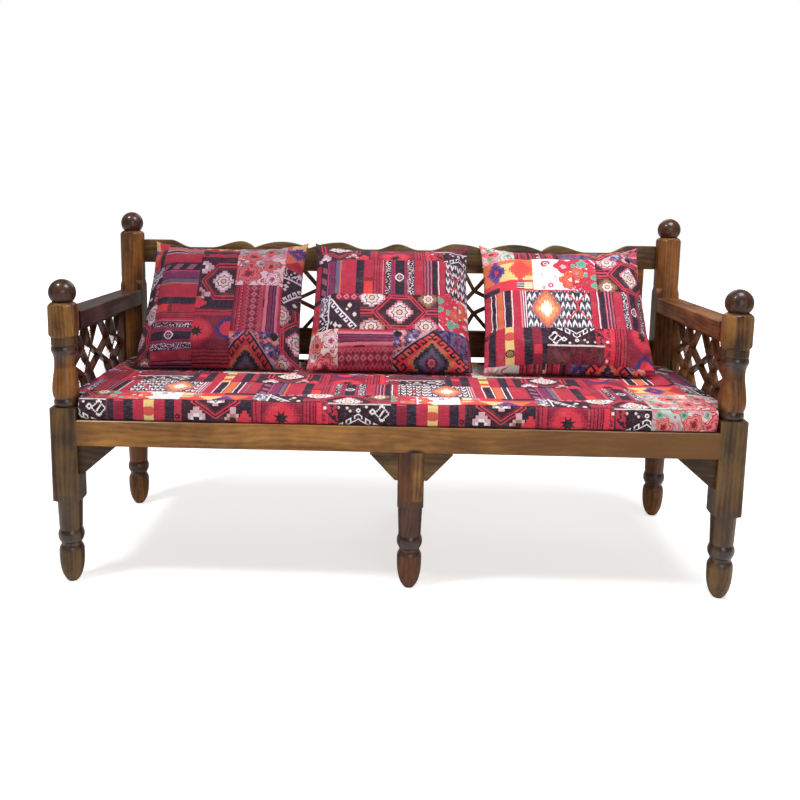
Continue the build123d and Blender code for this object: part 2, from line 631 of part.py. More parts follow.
def build():
    """Every piece of the bench in its place, by node name."""
    parts = {}
    seat, arms, back = seat_rails(), arm_rails(), back_rails()

    # Posts, with the mortises of every rail that enters them
    mortises = [rail.mortises() for rails in (seat, arms, back) for rail in rails.values()]
    blanks = {"front": (front_post(), FRONT_POST_TOP), "rear": (rear_post(), REAR_POST_TOP)}
    spigot_hole = Pos(0, 0, -SPIGOT_LENGTH / 2) * Cylinder(
        SPIGOT_RADIUS + JOINT_CLEARANCE, SPIGOT_LENGTH + 2 * JOINT_END_GAP)
    for row, row_sign in ROWS.items():
        blank, top = blanks[row]
        for side, side_sign in SIDES.items():
            place = Pos(side_sign * POST_X, row_sign * POST_Y, 0)
            post = place * (blank - Pos(0, 0, top) * spigot_hole)
            for cut in mortises:
                post -= cut
            parts[f"post_{row}_{side}"] = post
            parts[f"ball_finial_{row}_{side}"] = place * Pos(0, 0, top) * ball_finial()

    # Middle legs and the bearer between them
    beam = bearer()
    for row, row_sign in ROWS.items():
        turn = Rot(0, 0, 0 if row == "front" else 180)
        leg = Pos(MIDDLE_LEG_X, row_sign * MIDDLE_LEG_Y, 0) * turn * middle_leg()
        parts[f"leg_middle_{row}"] = leg - beam.mortises()
    parts["seat_bearer"] = beam.solid()

    # Seat frame and deck
    arm_panel_place = {side: along_y(sign * ARM_PANEL_X, 0) for side, sign in SIDES.items()}
    for name, rail in seat.items():
        parts[f"seat_rail_{name}"] = rail.solid()
    arm_groove = tongue(panel_width(ARM_MOTIFS, ARM_PITCH), JOINT_CLEARANCE)
    for side in SIDES:
        parts[f"seat_rail_{side}"] -= Pos(0, 0, SEAT_RAIL_TOP) * arm_panel_place[side] * arm_groove
    parts |= cleats()
    parts["seat_slats"] = slats()

    # Arms
    for side in SIDES:
        rail_groove = Pos(0, 0, ARM_RAIL_BOTTOM) * arm_panel_place[side] * arm_groove
        parts[f"arm_rail_{side}"] = arms[side].solid() - rail_groove
        place = Pos(0, 0, SEAT_RAIL_TOP + PANEL_HEIGHT / 2) * arm_panel_place[side]
        add_panel(parts, f"arm_{side}", panel(ARM_MOTIFS, ARM_PITCH), place, ("front", "rear"))

    # Back
    back_groove = Pos(0, BACK_Y, 0) * tongue(panel_width(BACK_MOTIFS, BACK_PITCH), JOINT_CLEARANCE)
    parts["back_rail_top"] = back["top"].solid(scalloped_body())
    parts["back_rail_top"] -= Pos(0, 0, TOP_RAIL_BOTTOM) * back_groove
    parts["back_rail_bottom"] = back["bottom"].solid() - Pos(0, 0, BOTTOM_RAIL_TOP) * back_groove
    place = Pos(0, BACK_Y, BOTTOM_RAIL_TOP + PANEL_HEIGHT / 2)
    add_panel(parts, "back", panel(BACK_MOTIFS, BACK_PITCH), place, ("left", "right"))

    add_brackets(parts)

    # Loose upholstery
    parts["mattress"] = mattress()
    edge = -BAY_X
    for name, gap in zip(("left", "middle", "right"), CUSHION_GAPS):
        edge += gap + CUSHION_WIDTH
        parts[f"cushion_{name}"] = cushion(edge - CUSHION_WIDTH / 2)
    return parts


def add_panel(parts, prefix, pieces, place, stile_names):
    """Put a panel's pieces in place, naming its two stiles."""
    names = {"stile_low": f"stile_{stile_names[0]}", "stile_high": f"stile_{stile_names[1]}"}
    for name, piece in pieces.items():
        node = f"{prefix}_panel_{names.get(name, name)}"
        parts[node] = [place * item for item in piece] if isinstance(piece, list) else place * piece


def add_brackets(parts):
    """Brackets under the front rail, beside the posts and the middle leg, and their screws."""
    y = -MIDDLE_LEG_Y - POST_HALF + BRACKET_SETBACK + BRACKET_THICKNESS / 2
    corner = (CORNER_BRACKET_WIDTH, CORNER_BRACKET_DROP)
    middle = (MIDDLE_BRACKET_WIDTH, MIDDLE_BRACKET_DROP)
    leg_left, leg_right = span(MIDDLE_LEG_X, POST_WIDTH)
    places = {
        "corner_left": (-BAY_X, 1, *corner, "post_front_left"),
        "middle_left": (leg_left, -1, *middle, "leg_middle_front"),
        "middle_right": (leg_right, 1, *middle, "leg_middle_front"),
        "corner_right": (BAY_X, -1, *corner, "post_front_right"),
    }
    screws = []
    for name, (x, direction, width, drop, support) in places.items():
        place = Pos(x, y, SEAT_RAIL_BOTTOM)
        plate, fixings = bracket(width, drop), bracket_screws(width, drop)
        if direction < 0:
            plate, fixings = mirror(plate, Plane.YZ), [mirror(screw, Plane.YZ) for screw in fixings]
        plate, fixings = place * plate, [place * screw for screw in fixings]
        for screw in fixings:
            plate -= screw
            parts[support] -= screw
            parts["seat_rail_front"] -= screw
        parts[f"bracket_{name}"] = plate
        screws += fixings
    parts["bracket_screws"] = screws


def write(parts):
    os.makedirs("parts", exist_ok=True)
    for name, piece in parts.items():
        solids = []
        for item in piece if isinstance(piece, list) else [piece]:
            solids += item.solids()
        shape = solids[0] if len(solids) == 1 else Compound(children=solids)
        export_step(shape, f"parts/{name}.step")


write(build())
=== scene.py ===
"""The persian takht, dressed: stained and lacquered wood, and printed kilim patchwork on soft pieces."""

from math import atan2, cos, hypot, pi, radians, sin

import bmesh
import bpy
from mathutils import Matrix, Vector


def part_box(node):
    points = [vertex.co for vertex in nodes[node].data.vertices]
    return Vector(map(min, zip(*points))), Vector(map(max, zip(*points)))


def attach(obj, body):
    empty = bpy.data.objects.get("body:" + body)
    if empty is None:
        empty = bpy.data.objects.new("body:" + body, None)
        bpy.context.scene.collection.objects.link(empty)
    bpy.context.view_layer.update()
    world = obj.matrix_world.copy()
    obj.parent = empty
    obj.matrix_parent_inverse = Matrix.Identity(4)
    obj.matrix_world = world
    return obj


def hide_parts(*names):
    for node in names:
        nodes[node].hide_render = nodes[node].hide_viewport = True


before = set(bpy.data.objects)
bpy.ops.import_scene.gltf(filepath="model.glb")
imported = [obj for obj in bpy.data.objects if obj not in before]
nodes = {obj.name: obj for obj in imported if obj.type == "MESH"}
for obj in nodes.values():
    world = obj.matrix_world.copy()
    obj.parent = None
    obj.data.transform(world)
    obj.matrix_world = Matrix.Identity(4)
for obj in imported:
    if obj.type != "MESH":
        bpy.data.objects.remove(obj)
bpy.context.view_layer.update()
MM = 0.001


# ---------------------------------------------------------------- camera and lamps

CAMERA_PLACE = Vector((0.0033, -2.5825, 1.0341))
CAMERA_PITCH = radians(-8.616)
CAMERA_YAW = radians(-1.951)
CAMERA_ROLL = radians(0.698)
CAMERA_LENS = 39.89
CAMERA_SHIFT = (0.041, -0.0816)
SENSOR_WIDTH = 36

# Each lamp's name, place, target, width and power
LAMPS = (
    ("Key", (-2.2, -1.5, 4.5), (0, 0, 0.5), 0.9, 110),
    ("Fill", (0.9, -3.8, 1.6), (0.2, 0, 0.5), 2.2, 25),
    ("Sky", (1.1, -0.7, 3.4), (0.4, 0, 0.4), 1.4, 72),
    ("Back", (0.5, 2.8, 2.8), (0, 0, 0.6), 2.2, 18),
)


def add_camera():
    data = bpy.data.cameras.new("Camera")
    data.lens = CAMERA_LENS
    data.sensor_width = SENSOR_WIDTH
    data.shift_x, data.shift_y = CAMERA_SHIFT
    reach = cos(CAMERA_PITCH)
    ahead = Vector((sin(CAMERA_YAW) * reach, cos(CAMERA_YAW) * reach, sin(CAMERA_PITCH)))
    level = Vector((cos(CAMERA_YAW), -sin(CAMERA_YAW), 0))
    upright = level.cross(ahead)
    right = level * cos(CAMERA_ROLL) + upright * sin(CAMERA_ROLL)
    up = upright * cos(CAMERA_ROLL) - level * sin(CAMERA_ROLL)
    camera = bpy.data.objects.new("Camera", data)
    camera.matrix_world = Matrix((right, up, -ahead)).transposed().to_4x4()
    camera.location = CAMERA_PLACE
    bpy.context.scene.collection.objects.link(camera)
    bpy.context.scene.camera = camera


def add_lamp(name, place, target, width, power):
    data = bpy.data.lights.new(name, "AREA")
    data.shape = "DISK"
    data.size = width
    data.energy = power
    lamp = bpy.data.objects.new(name, data)
    lamp.location = place
    lamp.rotation_euler = (Vector(target) - Vector(place)).to_track_quat("-Z", "Y").to_euler()
    bpy.context.scene.collection.objects.link(lamp)


# ---------------------------------------------------------------- shader nodes

class Field:
    """A value that changes over a surface. Arithmetic on it adds shader nodes."""

    def __init__(self, graph, socket):
        self.graph = graph
        self.socket = socket

    def maths(self, operation, *others):
        return self.graph.maths(operation, self, *others)

    def __add__(self, other):
        return self.maths("ADD", other)

    def __radd__(self, other):
        return self.maths("ADD", other)

    def __sub__(self, other):
        return self.maths("SUBTRACT", other)

    def __rsub__(self, other):
        return self.graph.maths("SUBTRACT", other, self)

    def __mul__(self, other):
        return self.maths("MULTIPLY", other)

    def __truediv__(self, other):
        return self.maths("DIVIDE", other)

    def __abs__(self):
        return self.maths("ABSOLUTE")

    def floor(self):
        return self.maths("FLOOR")

    def wrap(self, period):
        return self.maths("FLOORED_MODULO", period)

    def stepped(self, step):
        """The value at the middle of each step, as in a stepped kilim outline."""
        return (self / step).floor() * step + step / 2

    def centred(self, period):
        """Distance from the middle of each repeat."""
        return abs(self.wrap(period) - period / 2)

    def above(self, limit):
        return self.maths("GREATER_THAN", limit)

    def below(self, limit):
        return self.maths("LESS_THAN", limit)

    def between(self, low, high):
        return self.above(low) * self.below(high)

    def least(self, other):
        return self.maths("MINIMUM", other)

    def most(self, other):
        return self.maths("MAXIMUM", other)

    def smooth(self, low, high):
        """0 below low and 1 above high, or the other way round where low is the higher."""
        first, last = (1.0, 0.0) if low > high else (0.0, 1.0)
        made = self.graph.node("MapRange", {
            "Value": self, "From Min": min(low, high), "From Max": max(low, high),
            "To Min": first, "To Max": last}, interpolation_type="SMOOTHSTEP")
        return Field(self.graph, made.outputs["Result"])


class Graph:
    """Adds nodes to a material or to a node group."""

    def __init__(self, tree):
        self.tree = tree

    def node(self, kind, inputs=(), **settings):
        made = self.tree.nodes.new("ShaderNode" + kind)
        for name, value in settings.items():
            setattr(made, name, value)
        self.fill(made, dict(inputs))
        return made

    def fill(self, node, values):
        """Feeds a node's inputs by name."""
        for name, value in values.items():
            self.feed(node.inputs[name], value)

    def feed(self, socket, value):
        """Links a field or a socket to an input, or sets the input to a plain value."""
        if isinstance(value, Field):
            value = value.socket
        if isinstance(value, bpy.types.NodeSocket):
            self.tree.links.new(value, socket)
        else:
            socket.default_value = value

    def maths(self, operation, *values):
        made = self.node("Math", operation=operation)
        for socket, value in zip(made.inputs, values):
            self.feed(socket, value)
        return Field(self, made.outputs[0])

    def vector(self, x=0.0, y=0.0, z=0.0):
        return self.node("CombineXYZ", {"X": x, "Y": y, "Z": z}).outputs[0]

    def split(self, vector):
        parts = self.node("SeparateXYZ", {"Vector": vector}).outputs
        return [Field(self, part) for part in parts]

    def noise(self, vector, scale, detail=2.0, roughness=0.5):
        made = self.node(
            "TexNoise", {"Vector": vector, "Scale": scale, "Detail": detail, "Roughness": roughness})
        return Field(self, made.outputs["Fac"])

    def cells(self, vector, scale):
        """Distance to the nearest of scattered points."""
        made = self.node("TexVoronoi", {"Vector": vector, "Scale": scale})
        return Field(self, made.outputs["Distance"])

    def mix(self, share, first, second, blend="MIX"):
        made = self.node("Mix", data_type="RGBA", blend_type=blend)
        for index, value in ((0, share), (6, first), (7, second)):
            self.feed(made.inputs[index], value)
        return made.outputs[2]

    def ramp(self, value, stops):
        """Plain colours by value from 0 to 1. stops are (place, colour) pairs."""
        made = self.node("ValToRGB", {"Fac": value})
        ramp = made.color_ramp
        ramp.interpolation = "CONSTANT"
        for index, (place, ink) in enumerate(stops):
            stop = ramp.elements[index] if index < 2 else ramp.elements.new(place)
            stop.position = place
            stop.color = ink
        return made.outputs["Color"]

    def bands(self, value, widths):
        """Bands across value, from 0 up. widths are (width, colour) pairs."""
        total = sum(width for width, _ in widths)
        place, stops = 0.0, []
        for width, ink in widths:
            stops.append((place / total, ink))
            place += width
        return self.ramp(value / total, stops)

    def use(self, group, inputs):
        made = self.tree.nodes.new("ShaderNodeGroup")
        made.node_tree = group
        self.fill(made, inputs)
        return made.outputs


def colour(red, green, blue):
    """A display colour, 0 to 255, as the linear value that shaders take."""
    linear = [(part / 255 / 12.92) if part < 11 else ((part / 255 + 0.055) / 1.055) ** 2.4
              for part in (red, green, blue)]
    return (*linear, 1.0)


def new_group(name, inputs, outputs):
    """A shader node group, its graph, its input sockets by name and its output node."""
    tree = bpy.data.node_groups.new(name, "ShaderNodeTree")
    for socket, kind in inputs.items():
        tree.interface.new_socket(socket, in_out="INPUT", socket_type="NodeSocket" + kind)
    for socket, kind in outputs.items():
        tree.interface.new_socket(socket, in_out="OUTPUT", socket_type="NodeSocket" + kind)
    enter = tree.nodes.new("NodeGroupInput")
    leave = tree.nodes.new("NodeGroupOutput")
    return tree, Graph(tree), enter.outputs, leave.inputs


def empty_graph(owner):
    """The graph of a material or a world, emptied."""
    owner.use_nodes = True
    owner.node_tree.nodes.clear()
    return Graph(owner.node_tree)


def new_material(name):
    """A material, its graph and its shader node."""
    material = bpy.data.materials.new(name)
    graph = empty_graph(material)
    shader = graph.node("BsdfPrincipled")
    graph.node("OutputMaterial", {"Surface": shader.outputs[0]})
    return material, graph, shader


# ---------------------------------------------------------------- wood

GOLD = colour(168, 118, 64)
HONEY = colour(158, 98, 44)
OLIVE = colour(126, 92, 48)
AMBER = colour(170, 116, 54)
UMBER = colour(48, 28, 14)
CHESTNUT = colour(124, 68, 36)
BARK = colour(30, 17, 13)
LACQUER = colour(30, 15, 13)
LEFT_ARM_SHADE = colour(92, 62, 42)
RAIL_PALE = colour(184, 128, 64)
RAIL_SHADED = colour(118, 78, 38)
RAIL_DARK = colour(108, 70, 32)
STEEL = colour(150, 146, 140)
RUST = colour(96, 66, 48)

# Heights of the turned work, and how thick the lacquer lies there
FOOT_RINGS = ((0.104, 0.150, 0.8), (0.086, 0.104, 0.45), (0.150, 0.248, 0.35))
POST_BEADS = ((0.486, 0.508, 0.8), (0.592, 0.629, 0.35), (0.627, 0.650, 0.9), (0.650, 0.672, 0.25))
BALUSTER = (0.508, 0.629)
TOP_BLOCK = (0.671, 0.763)
# The pale side of the middle legs
SAPWOOD_WIDTH = 31 * MM
SAPWOOD_FOOT = 0.25
# The painted lit side of one finial, golden, measured from the corner of its box, and the front rail's darker
# end
LIT_SIDE_INSET = 28 * MM
LIT_SIDE_DEPTH = 26 * MM
SHADED_FROM = 0.35


def stained_grain():
    """Stained softwood along Z: streaks, growth lines, knots and dark blotches; glossy where lacquered."""
    tree, graph, enter, leave = new_group(
        "Stained grain",
        {"Place": "Vector", "Seed": "Float", "Pale": "Color", "Dark": "Color", "Lacquer": "Float"},
        {"Color": "Color", "Roughness": "Float", "Coat": "Float", "Height": "Float"})
    x, y, z = graph.split(enter["Place"])
    seed = Field(graph, enter["Seed"])
    x, y, z = x + seed * 1.7, y + seed * 0.9, z + seed * 2.3

    knots = graph.cells(graph.vector(x * 7, y * 7, z * 3.2), 1.0)
    knot = knots.smooth(0.11, 0.04)
    halo = knots.smooth(0.34, 0.08)
    sway = graph.noise(graph.vector(x * 5, y * 5, z * 1.6), 1.0, 2.0)
    across = x + y * 0.8 + sway * 0.12 + halo * 0.012
    growth = graph.maths("SINE", across * 520) * 0.5 + 0.5
    streaks = graph.noise(graph.vector(x * 46 + halo, y * 46, z * 3), 1.0, 4.0, 0.6)
    pores = graph.noise(graph.vector(x * 420, y * 420, z * 16), 1.0, 2.0)
    blotch = graph.noise(graph.vector(x * 11, y * 11, z * 6), 1.0, 4.0, 0.65)
    pooled = graph.noise(graph.vector(x * 17, y * 17, z * 8), 1.0, 3.0, 0.6)

    tone = streaks * 0.7 + growth * 0.12 + blotch * 1.3 + pores * 0.16 - 0.72
    stained = graph.mix(tone.smooth(0.08, 0.86), enter["Dark"], enter["Pale"])
    stained = graph.mix(pooled.smooth(0.5, 0.74) * 0.4, stained, enter["Dark"])
    stained = graph.mix(knot * 0.85 + halo * 0.22, stained, BARK)
    lacquer = Field(graph, enter["Lacquer"])
    thick = lacquer * (blotch * 1.1 + 0.34)
    graph.feed(leave["Color"], graph.mix(thick.least(0.94), stained, LACQUER))
    graph.feed(leave["Roughness"], 0.4 - lacquer * 0.14 + pores * 0.14)
    graph.feed(leave["Coat"], lacquer * 0.7 + 0.1)
    graph.feed(leave["Height"], pores * 0.5 + growth * 0.2 + streaks * 0.5)
    return tree


GRAIN = stained_grain()
# The two axes across the grain and the one along it, by the axis that the wood runs along
GRAIN_ORDER = {"X": (1, 2, 0), "Y": (0, 2, 1), "Z": (0, 1, 2)}


def inside(axes, low, high, soft):
    """1 inside a box and 0 outside, fading over soft at each side. None leaves a side open."""
    share = 1.0
    for axis, start, end in zip(axes, low, high):
        if start is not None:
            share = axis.smooth(start - soft, start + soft) * share
        if end is not None:
            share = axis.smooth(end + soft, end - soft) * share
    return share


def level_band(low, high):
    """The corners of a box between two heights, open all round."""
    return (None, None, low), (None, None, high)


def wood(name, along, pale, dark, seed, lacquered=(), lacquer=0.0, chamfer_highlight=0.0, tints=()):
    """
    Wood with its grain along one axis.
    lacquered lists the heights of dark turned work as (low, high, share).
    lacquer is the share that lies everywhere, and chamfer_highlight is how far chamfers are painted pale, a
    painted highlight along the edges.
    tints lists boxes in which the pale colour differs, as (low corner, high corner, soft, colour).
    """
    material, graph, shader = new_material(name)
    place = graph.node("TexCoord").outputs["Object"]
    axes = graph.split(place)
    x, y, z = (axes[index] for index in GRAIN_ORDER[along])
    for low, high, soft, tint in tints:
        pale = graph.mix(inside(axes, low, high, soft), pale, tint)
    coats = lacquer
    for low, high, share in lacquered:
        coats = inside(axes, *level_band(low, high), 3 * MM) * share + coats
    made = graph.use(GRAIN, {
        "Place": graph.vector(x, y, z), "Seed": seed, "Pale": pale, "Dark": dark, "Lacquer": coats})
    shade = made["Color"]
    # Painted highlight: chamfers, found by the slant of their normals, are screened towards the pale colour.
    if chamfer_highlight:
        normal = graph.split(graph.node("TexCoord").outputs["Normal"])
        chamfer = abs(normal[0] * normal[1]).smooth(0.3, 0.45)
        shade = graph.mix(chamfer * chamfer_highlight, shade, pale, "SCREEN")
    bump = graph.node("Bump", {"Height": made["Height"], "Strength": 0.25, "Distance": 0.6 * MM})
    graph.fill(shader, {
        "Base Color": shade, "Roughness": made["Roughness"], "Coat Weight": made["Coat"],
        "Coat Roughness": 0.12, "Specular IOR Level": 0.28, "Normal": bump.outputs[0]})
    return material


def dress(material, *names):
    """Give CAD nodes a material."""
    for name in names:
        obj = nodes[name]
        obj.data.materials.clear()
        obj.data.materials.append(material)


def dress_posts():
    """Posts and legs: dark glossy rings and beads, and golden top blocks on the olive front posts."""
    golden = (*level_band(*TOP_BLOCK), 4 * MM, AMBER)
    vase = (*level_band(*BALUSTER), 6 * MM, HONEY)
    for index, side in enumerate(("left", "right")):
        front = wood(f"front post {side}", "Z", OLIVE, UMBER, 1.3 + index * 1.9, FOOT_RINGS + POST_BEADS,
                     lacquer=0.16, chamfer_highlight=0.2, tints=(golden, vase))
        dress(front, f"post_front_{side}")
        rear = wood(f"rear post {side}", "Z", HONEY, UMBER, 4.1 + index, FOOT_RINGS, lacquer=0.08, chamfer_highlight=0.1)
        dress(rear, f"post_rear_{side}")
    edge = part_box("leg_middle_front")[1].x - SAPWOOD_WIDTH
    sapwood = ((edge, None, SAPWOOD_FOOT), (None, None, None), 2 * MM, AMBER)
    leg = wood("middle legs", "Z", CHESTNUT, UMBER, 8.6, FOOT_RINGS, lacquer=0.04, tints=(sapwood,))
    dress(leg, "leg_middle_front", "leg_middle_rear")


def dress_wood():
    dress_posts()
    balls = [f"ball_finial_{row}_{side}" for row in ("front", "rear") for side in ("left", "right")]
    dress(wood("dark finials", "Z", CHESTNUT, UMBER, 9.1, lacquer=0.55), *balls)
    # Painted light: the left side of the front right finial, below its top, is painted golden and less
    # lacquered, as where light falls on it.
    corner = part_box(balls[1])[1]
    lit_side = ((None, None, None), (corner.x - LIT_SIDE_INSET, None, corner.z - LIT_SIDE_DEPTH), 8 * MM, GOLD)
    dress(wood("finial with painted lit side", "Z", CHESTNUT, UMBER, 9.4, lacquer=0.3, tints=(lit_side,)), balls[1])
    shaded = ((SHADED_FROM, None, None), (None, None, None), 0.5, RAIL_SHADED)
    dress(wood("front rail", "X", RAIL_PALE, RAIL_DARK, 2.2, tints=(shaded,)), "seat_rail_front")
    dress(wood("long rails", "X", OLIVE, UMBER, 3.4), "seat_rail_rear", "back_rail_bottom", "back_rail_top")
    dress(wood("side rails", "Y", OLIVE, UMBER, 5.2), "seat_rail_left", "seat_rail_right")
    # Painted shade: the left arm rail gets darker wood and more dark lacquer than the right one, as the shade
    # it stands in.
    dress(wood("left arm in painted shade", "Y", LEFT_ARM_SHADE, BARK, 6.1, lacquer=0.2), "arm_rail_left")
    dress(wood("right arm", "Y", HONEY, UMBER, 6.8), "arm_rail_right")
    brackets = [f"bracket_{place}_{side}" for place in ("corner", "middle") for side in ("left", "right")]
    dress(wood("brackets", "X", OLIVE, UMBER, 8.3, lacquer=0.06), *brackets)
    dress(wood("deck", "Y", GOLD, OLIVE, 8.9), "seat_slats", "seat_bearer")
    cleats = [name for name in nodes if name.startswith("seat_cleat")]
    dress(wood("cleats", "X", GOLD, OLIVE, 9.6), *cleats)
    for name in nodes:
        if "_panel_" in name:
            dress(lattice_wood(name), name)


def lattice_wood(name):
    """One material for each set of laths or bars that share a grain direction."""
    upright = "stile" in name
    panel = name.split("_panel_")[0]
    part = "laths" if "laths" in name else "frame"
    key = f"{panel} {part} {'upright' if upright else 'level'}"
    if key in bpy.data.materials:
        return bpy.data.materials[key]
    along = "Z" if upright else "X" if panel == "back" else "Y"
    # Painted shade: the left arm's lattice is darker and more lacquered than the others, as the shade it
    # stands in.
    pale, coat = (CHESTNUT, 0.4) if panel == "arm_left" else (HONEY, 0.1)
    return wood(key, along, pale, UMBER, 10.0 + len(bpy.data.materials) * 0.37, lacquer=coat)


def dress_screws():
    material, graph, shader = new_material("screws")
    place = graph.node("TexCoord").outputs["Object"]
    rust = graph.noise(place, 240.0, 3.0).smooth(0.4, 0.7)
    graph.fill(shader, {
        "Base Color": graph.mix(rust, STEEL, RUST), "Roughness": 0.35 + rust * 0.35, "Metallic": 0.9})
    dress(material, "bracket_screws")


# ---------------------------------------------------------------- new pieces

def take(name, shape):
    """A new object from a bmesh, linked to the scene."""
    mesh = bpy.data.meshes.new(name)
    shape.to_mesh(mesh)
    shape.free()
    piece = bpy.data.objects.new(name, mesh)
    bpy.context.scene.collection.objects.link(piece)
    return piece


def only(kind, items):
    """The items of one kind, from what a bmesh operator gives back."""
    return [item for item in items if isinstance(item, kind)]


def clamp(value, low, high):
    return max(low, min(high, value))


# ---------------------------------------------------------------- scalloped rail

CREST = 72 * MM
PEAK = 69 * MM
VALLEY = 50.5 * MM
NOTCH = 52 * MM
SHOULDER = 74 * MM
# How far an edge has gone from one height to the next, by the share of the way along
SWEEPS = {
    "level": lambda part: 0.0,
    "ogee": lambda part: (1 - cos(part * pi)) / 2,
    "falling arc": lambda part: part ** 2,
    "rising arc": lambda part: 1 - (1 - part) ** 2,
}
# The upper edge from the rail's middle out: share of the half rail, height there and how the edge goes on
SCALLOPS = (
    (0.0, PEAK, "ogee"),
    (0.086, VALLEY, "level"),
    (0.126, VALLEY, "ogee"),
    (0.225, CREST, "falling arc"),
    (0.348, NOTCH, "rising arc"),
    (0.456, CREST, "falling arc"),
    (0.563, NOTCH, "rising arc"),
    (0.617, CREST, "ogee"),
    (0.738, VALLEY, "level"),
    (0.817, VALLEY, "ogee"),
    (0.9, SHOULDER, "level"),
    (1.0, SHOULDER, "level"),
)
RAIL_COLUMNS = 836
RAIL_ARRIS = 1.2 * MM
SQUARE_CORNER = radians(60)
SMOOTH_BEND = radians(35)
TENON_CHEEK = 6 * MM
TENON_SHOULDER = 10 * MM


def scallop_height(share):
    """Height of the scalloped edge above the rail's lower edge, at a share of the half rail."""
    for (start, height, sweep), (end, following, _) in zip(SCALLOPS, SCALLOPS[1:]):
        if share <= end:
            break
    return height + (following - height) * SWEEPS[sweep]((share - start) / (end - start))


def cut_tenons(shape, low, high, half):
    """A tenon on each end of the rail, set in from its faces."""
    ends = [face for face in shape.faces if abs(face.calc_center_median().x) > half - 0.1 * MM]
    bmesh.ops.inset_individual(shape, faces=ends, thickness=TENON_CHEEK)
    middle = (low + high) / 2
    for face in ends:
        for vertex in face.verts:
            below = vertex.co.z < middle.z
            vertex.co.z = low.z + TENON_SHOULDER if below else low.z + SHOULDER - TENON_SHOULDER
    made = bmesh.ops.extrude_discrete_faces(shape, faces=ends)["faces"]
    for face in made:
        for vertex in face.verts:
            vertex.co.x = high.x if vertex.co.x > 0 else low.x


def top_rail():
    """The back's top rail: a board whose upper edge is cut in humps, notches and ogee peaks."""
    low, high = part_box("back_rail_top")
    half = -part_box("post_rear_left")[1].x
    shape = bmesh.new()
    bmesh.ops.create_grid(shape, x_segments=RAIL_COLUMNS, y_segments=1, size=1)
    for vertex in shape.verts:
        share, upper = vertex.co.x, vertex.co.y > 0
        vertex.co = (share * half, low.y, low.z + (scallop_height(abs(share)) if upper else 0))
    made = bmesh.ops.extrude_face_region(shape, geom=shape.faces[:])["geom"]
    bmesh.ops.translate(shape, verts=only(bmesh.types.BMVert, made), vec=(0, high.y - low.y, 0))
    cut_tenons(shape, low, high, half)
    bmesh.ops.recalc_face_normals(shape, faces=shape.faces)
    edges = [edge for edge in shape.edges if edge.calc_face_angle(0) > SQUARE_CORNER]
    bmesh.ops.bevel(
        shape, geom=edges, offset=RAIL_ARRIS, affect="EDGES", segments=2, profile=0.5, material=-1)
    piece = take("scalloped_top_rail", shape)
    piece.data.shade_smooth()
    piece.data.set_sharp_from_angle(angle=SMOOTH_BEND)
    piece.data.materials.append(nodes["back_rail_top"].data.materials[0])
    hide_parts("back_rail_top")
    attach(piece, "frame")


# ---------------------------------------------------------------- floor and background

PAPER = colour(236, 235, 233)
FULL_WHITE = (1, 1, 1, 1)
SKY = 0.26
FLOOR_SIZE = 9
FLOOR_LIFT = 0.6
FAR_LIFT = 0.5
FAR = (1.0, 3.6)


def seen_by_camera(graph):
    """1 for what the camera sees directly, and 0 for all other light."""
    return Field(graph, graph.node("LightPath").outputs["Is Camera Ray"])


def add_floor():
    """A matte floor that keeps the object's shadow and fades to white with distance from it."""
    shape = bmesh.new()
    bmesh.ops.create_grid(shape, x_segments=1, y_segments=1, size=FLOOR_SIZE)
    floor = take("Floor", shape)
    material = bpy.data.materials.new("floor")
    graph = empty_graph(material)
    matte = graph.node("BsdfDiffuse", {"Color": PAPER})
    seen = seen_by_camera(graph)
    x, y, _ = graph.split(graph.node("TexCoord").outputs["Object"])
    far = graph.maths("SQRT", x * x + y * y).smooth(*FAR)
    lift = graph.node("Emission", {"Color": FULL_WHITE, "Strength": seen * (far * FAR_LIFT + FLOOR_LIFT)})
    both = graph.node("AddShader")
    for socket, light in zip(both.inputs, (matte, lift)):
        graph.feed(socket, light.outputs[0])
    graph.node("OutputMaterial", {"Surface": both.outputs[0]})
    floor.data.materials.append(material)


def add_world():
    """A background that is white to the camera and a dim sky to everything else."""
    world = bpy.data.worlds.new("World")
    bpy.context.scene.world = world
    graph = empty_graph(world)
    strength = seen_by_camera(graph) * (1 - SKY) + SKY
    light = graph.node("Background", {"Color": FULL_WHITE, "Strength": strength})
    graph.node("OutputWorld", {"Surface": light.outputs[0]})


# ---------------------------------------------------------------- soft pieces

SEAM_GAP = 0.5 * MM
FAR_FROM_SEAM = 20 * MM
CLOTH_FRAMES = 20

CUSHION_LEAN = radians(38)
CUSHION_EDGE = 12 * MM
CUSHION_THICKNESS = 124 * MM
CUSHION_CELL = 9.8 * MM
CROWN_BREADTH = 2.6
CROWN_ROUNDING = 0.55
FULLEST = 0.52
SINK = 0.13
CREASE_DEPTH = 0.16
CREASE_REACH = 0.6
CREASE_RATE = 14
CORNER_BLUNT = 5 * MM
# How far a cushion's sides and its level edges are drawn in: mm midway, and how much more near the top
SIDE_PULL = (14, 4)
EDGE_PULL = (20, 16)

POST_GAP = 4 * MM
NOTCH_COLUMNS = 2
BORDER_LEVELS = 4
MATTRESS_CELL = (19.1 * MM, 22 * MM)
SIDE_BULGE = 4 * MM
FRONT_BULGE = 5 * MM
REAR_BULGE = 20 * MM
FOLD_HEIGHT = 8 * MM
FOLD_FROM_END = (94 * MM, 38 * MM)
FOLD_ALONG = (-0.24, 0.26)
DIP_DEPTH = 0.8 * MM
DIP_EDGE = 80 * MM

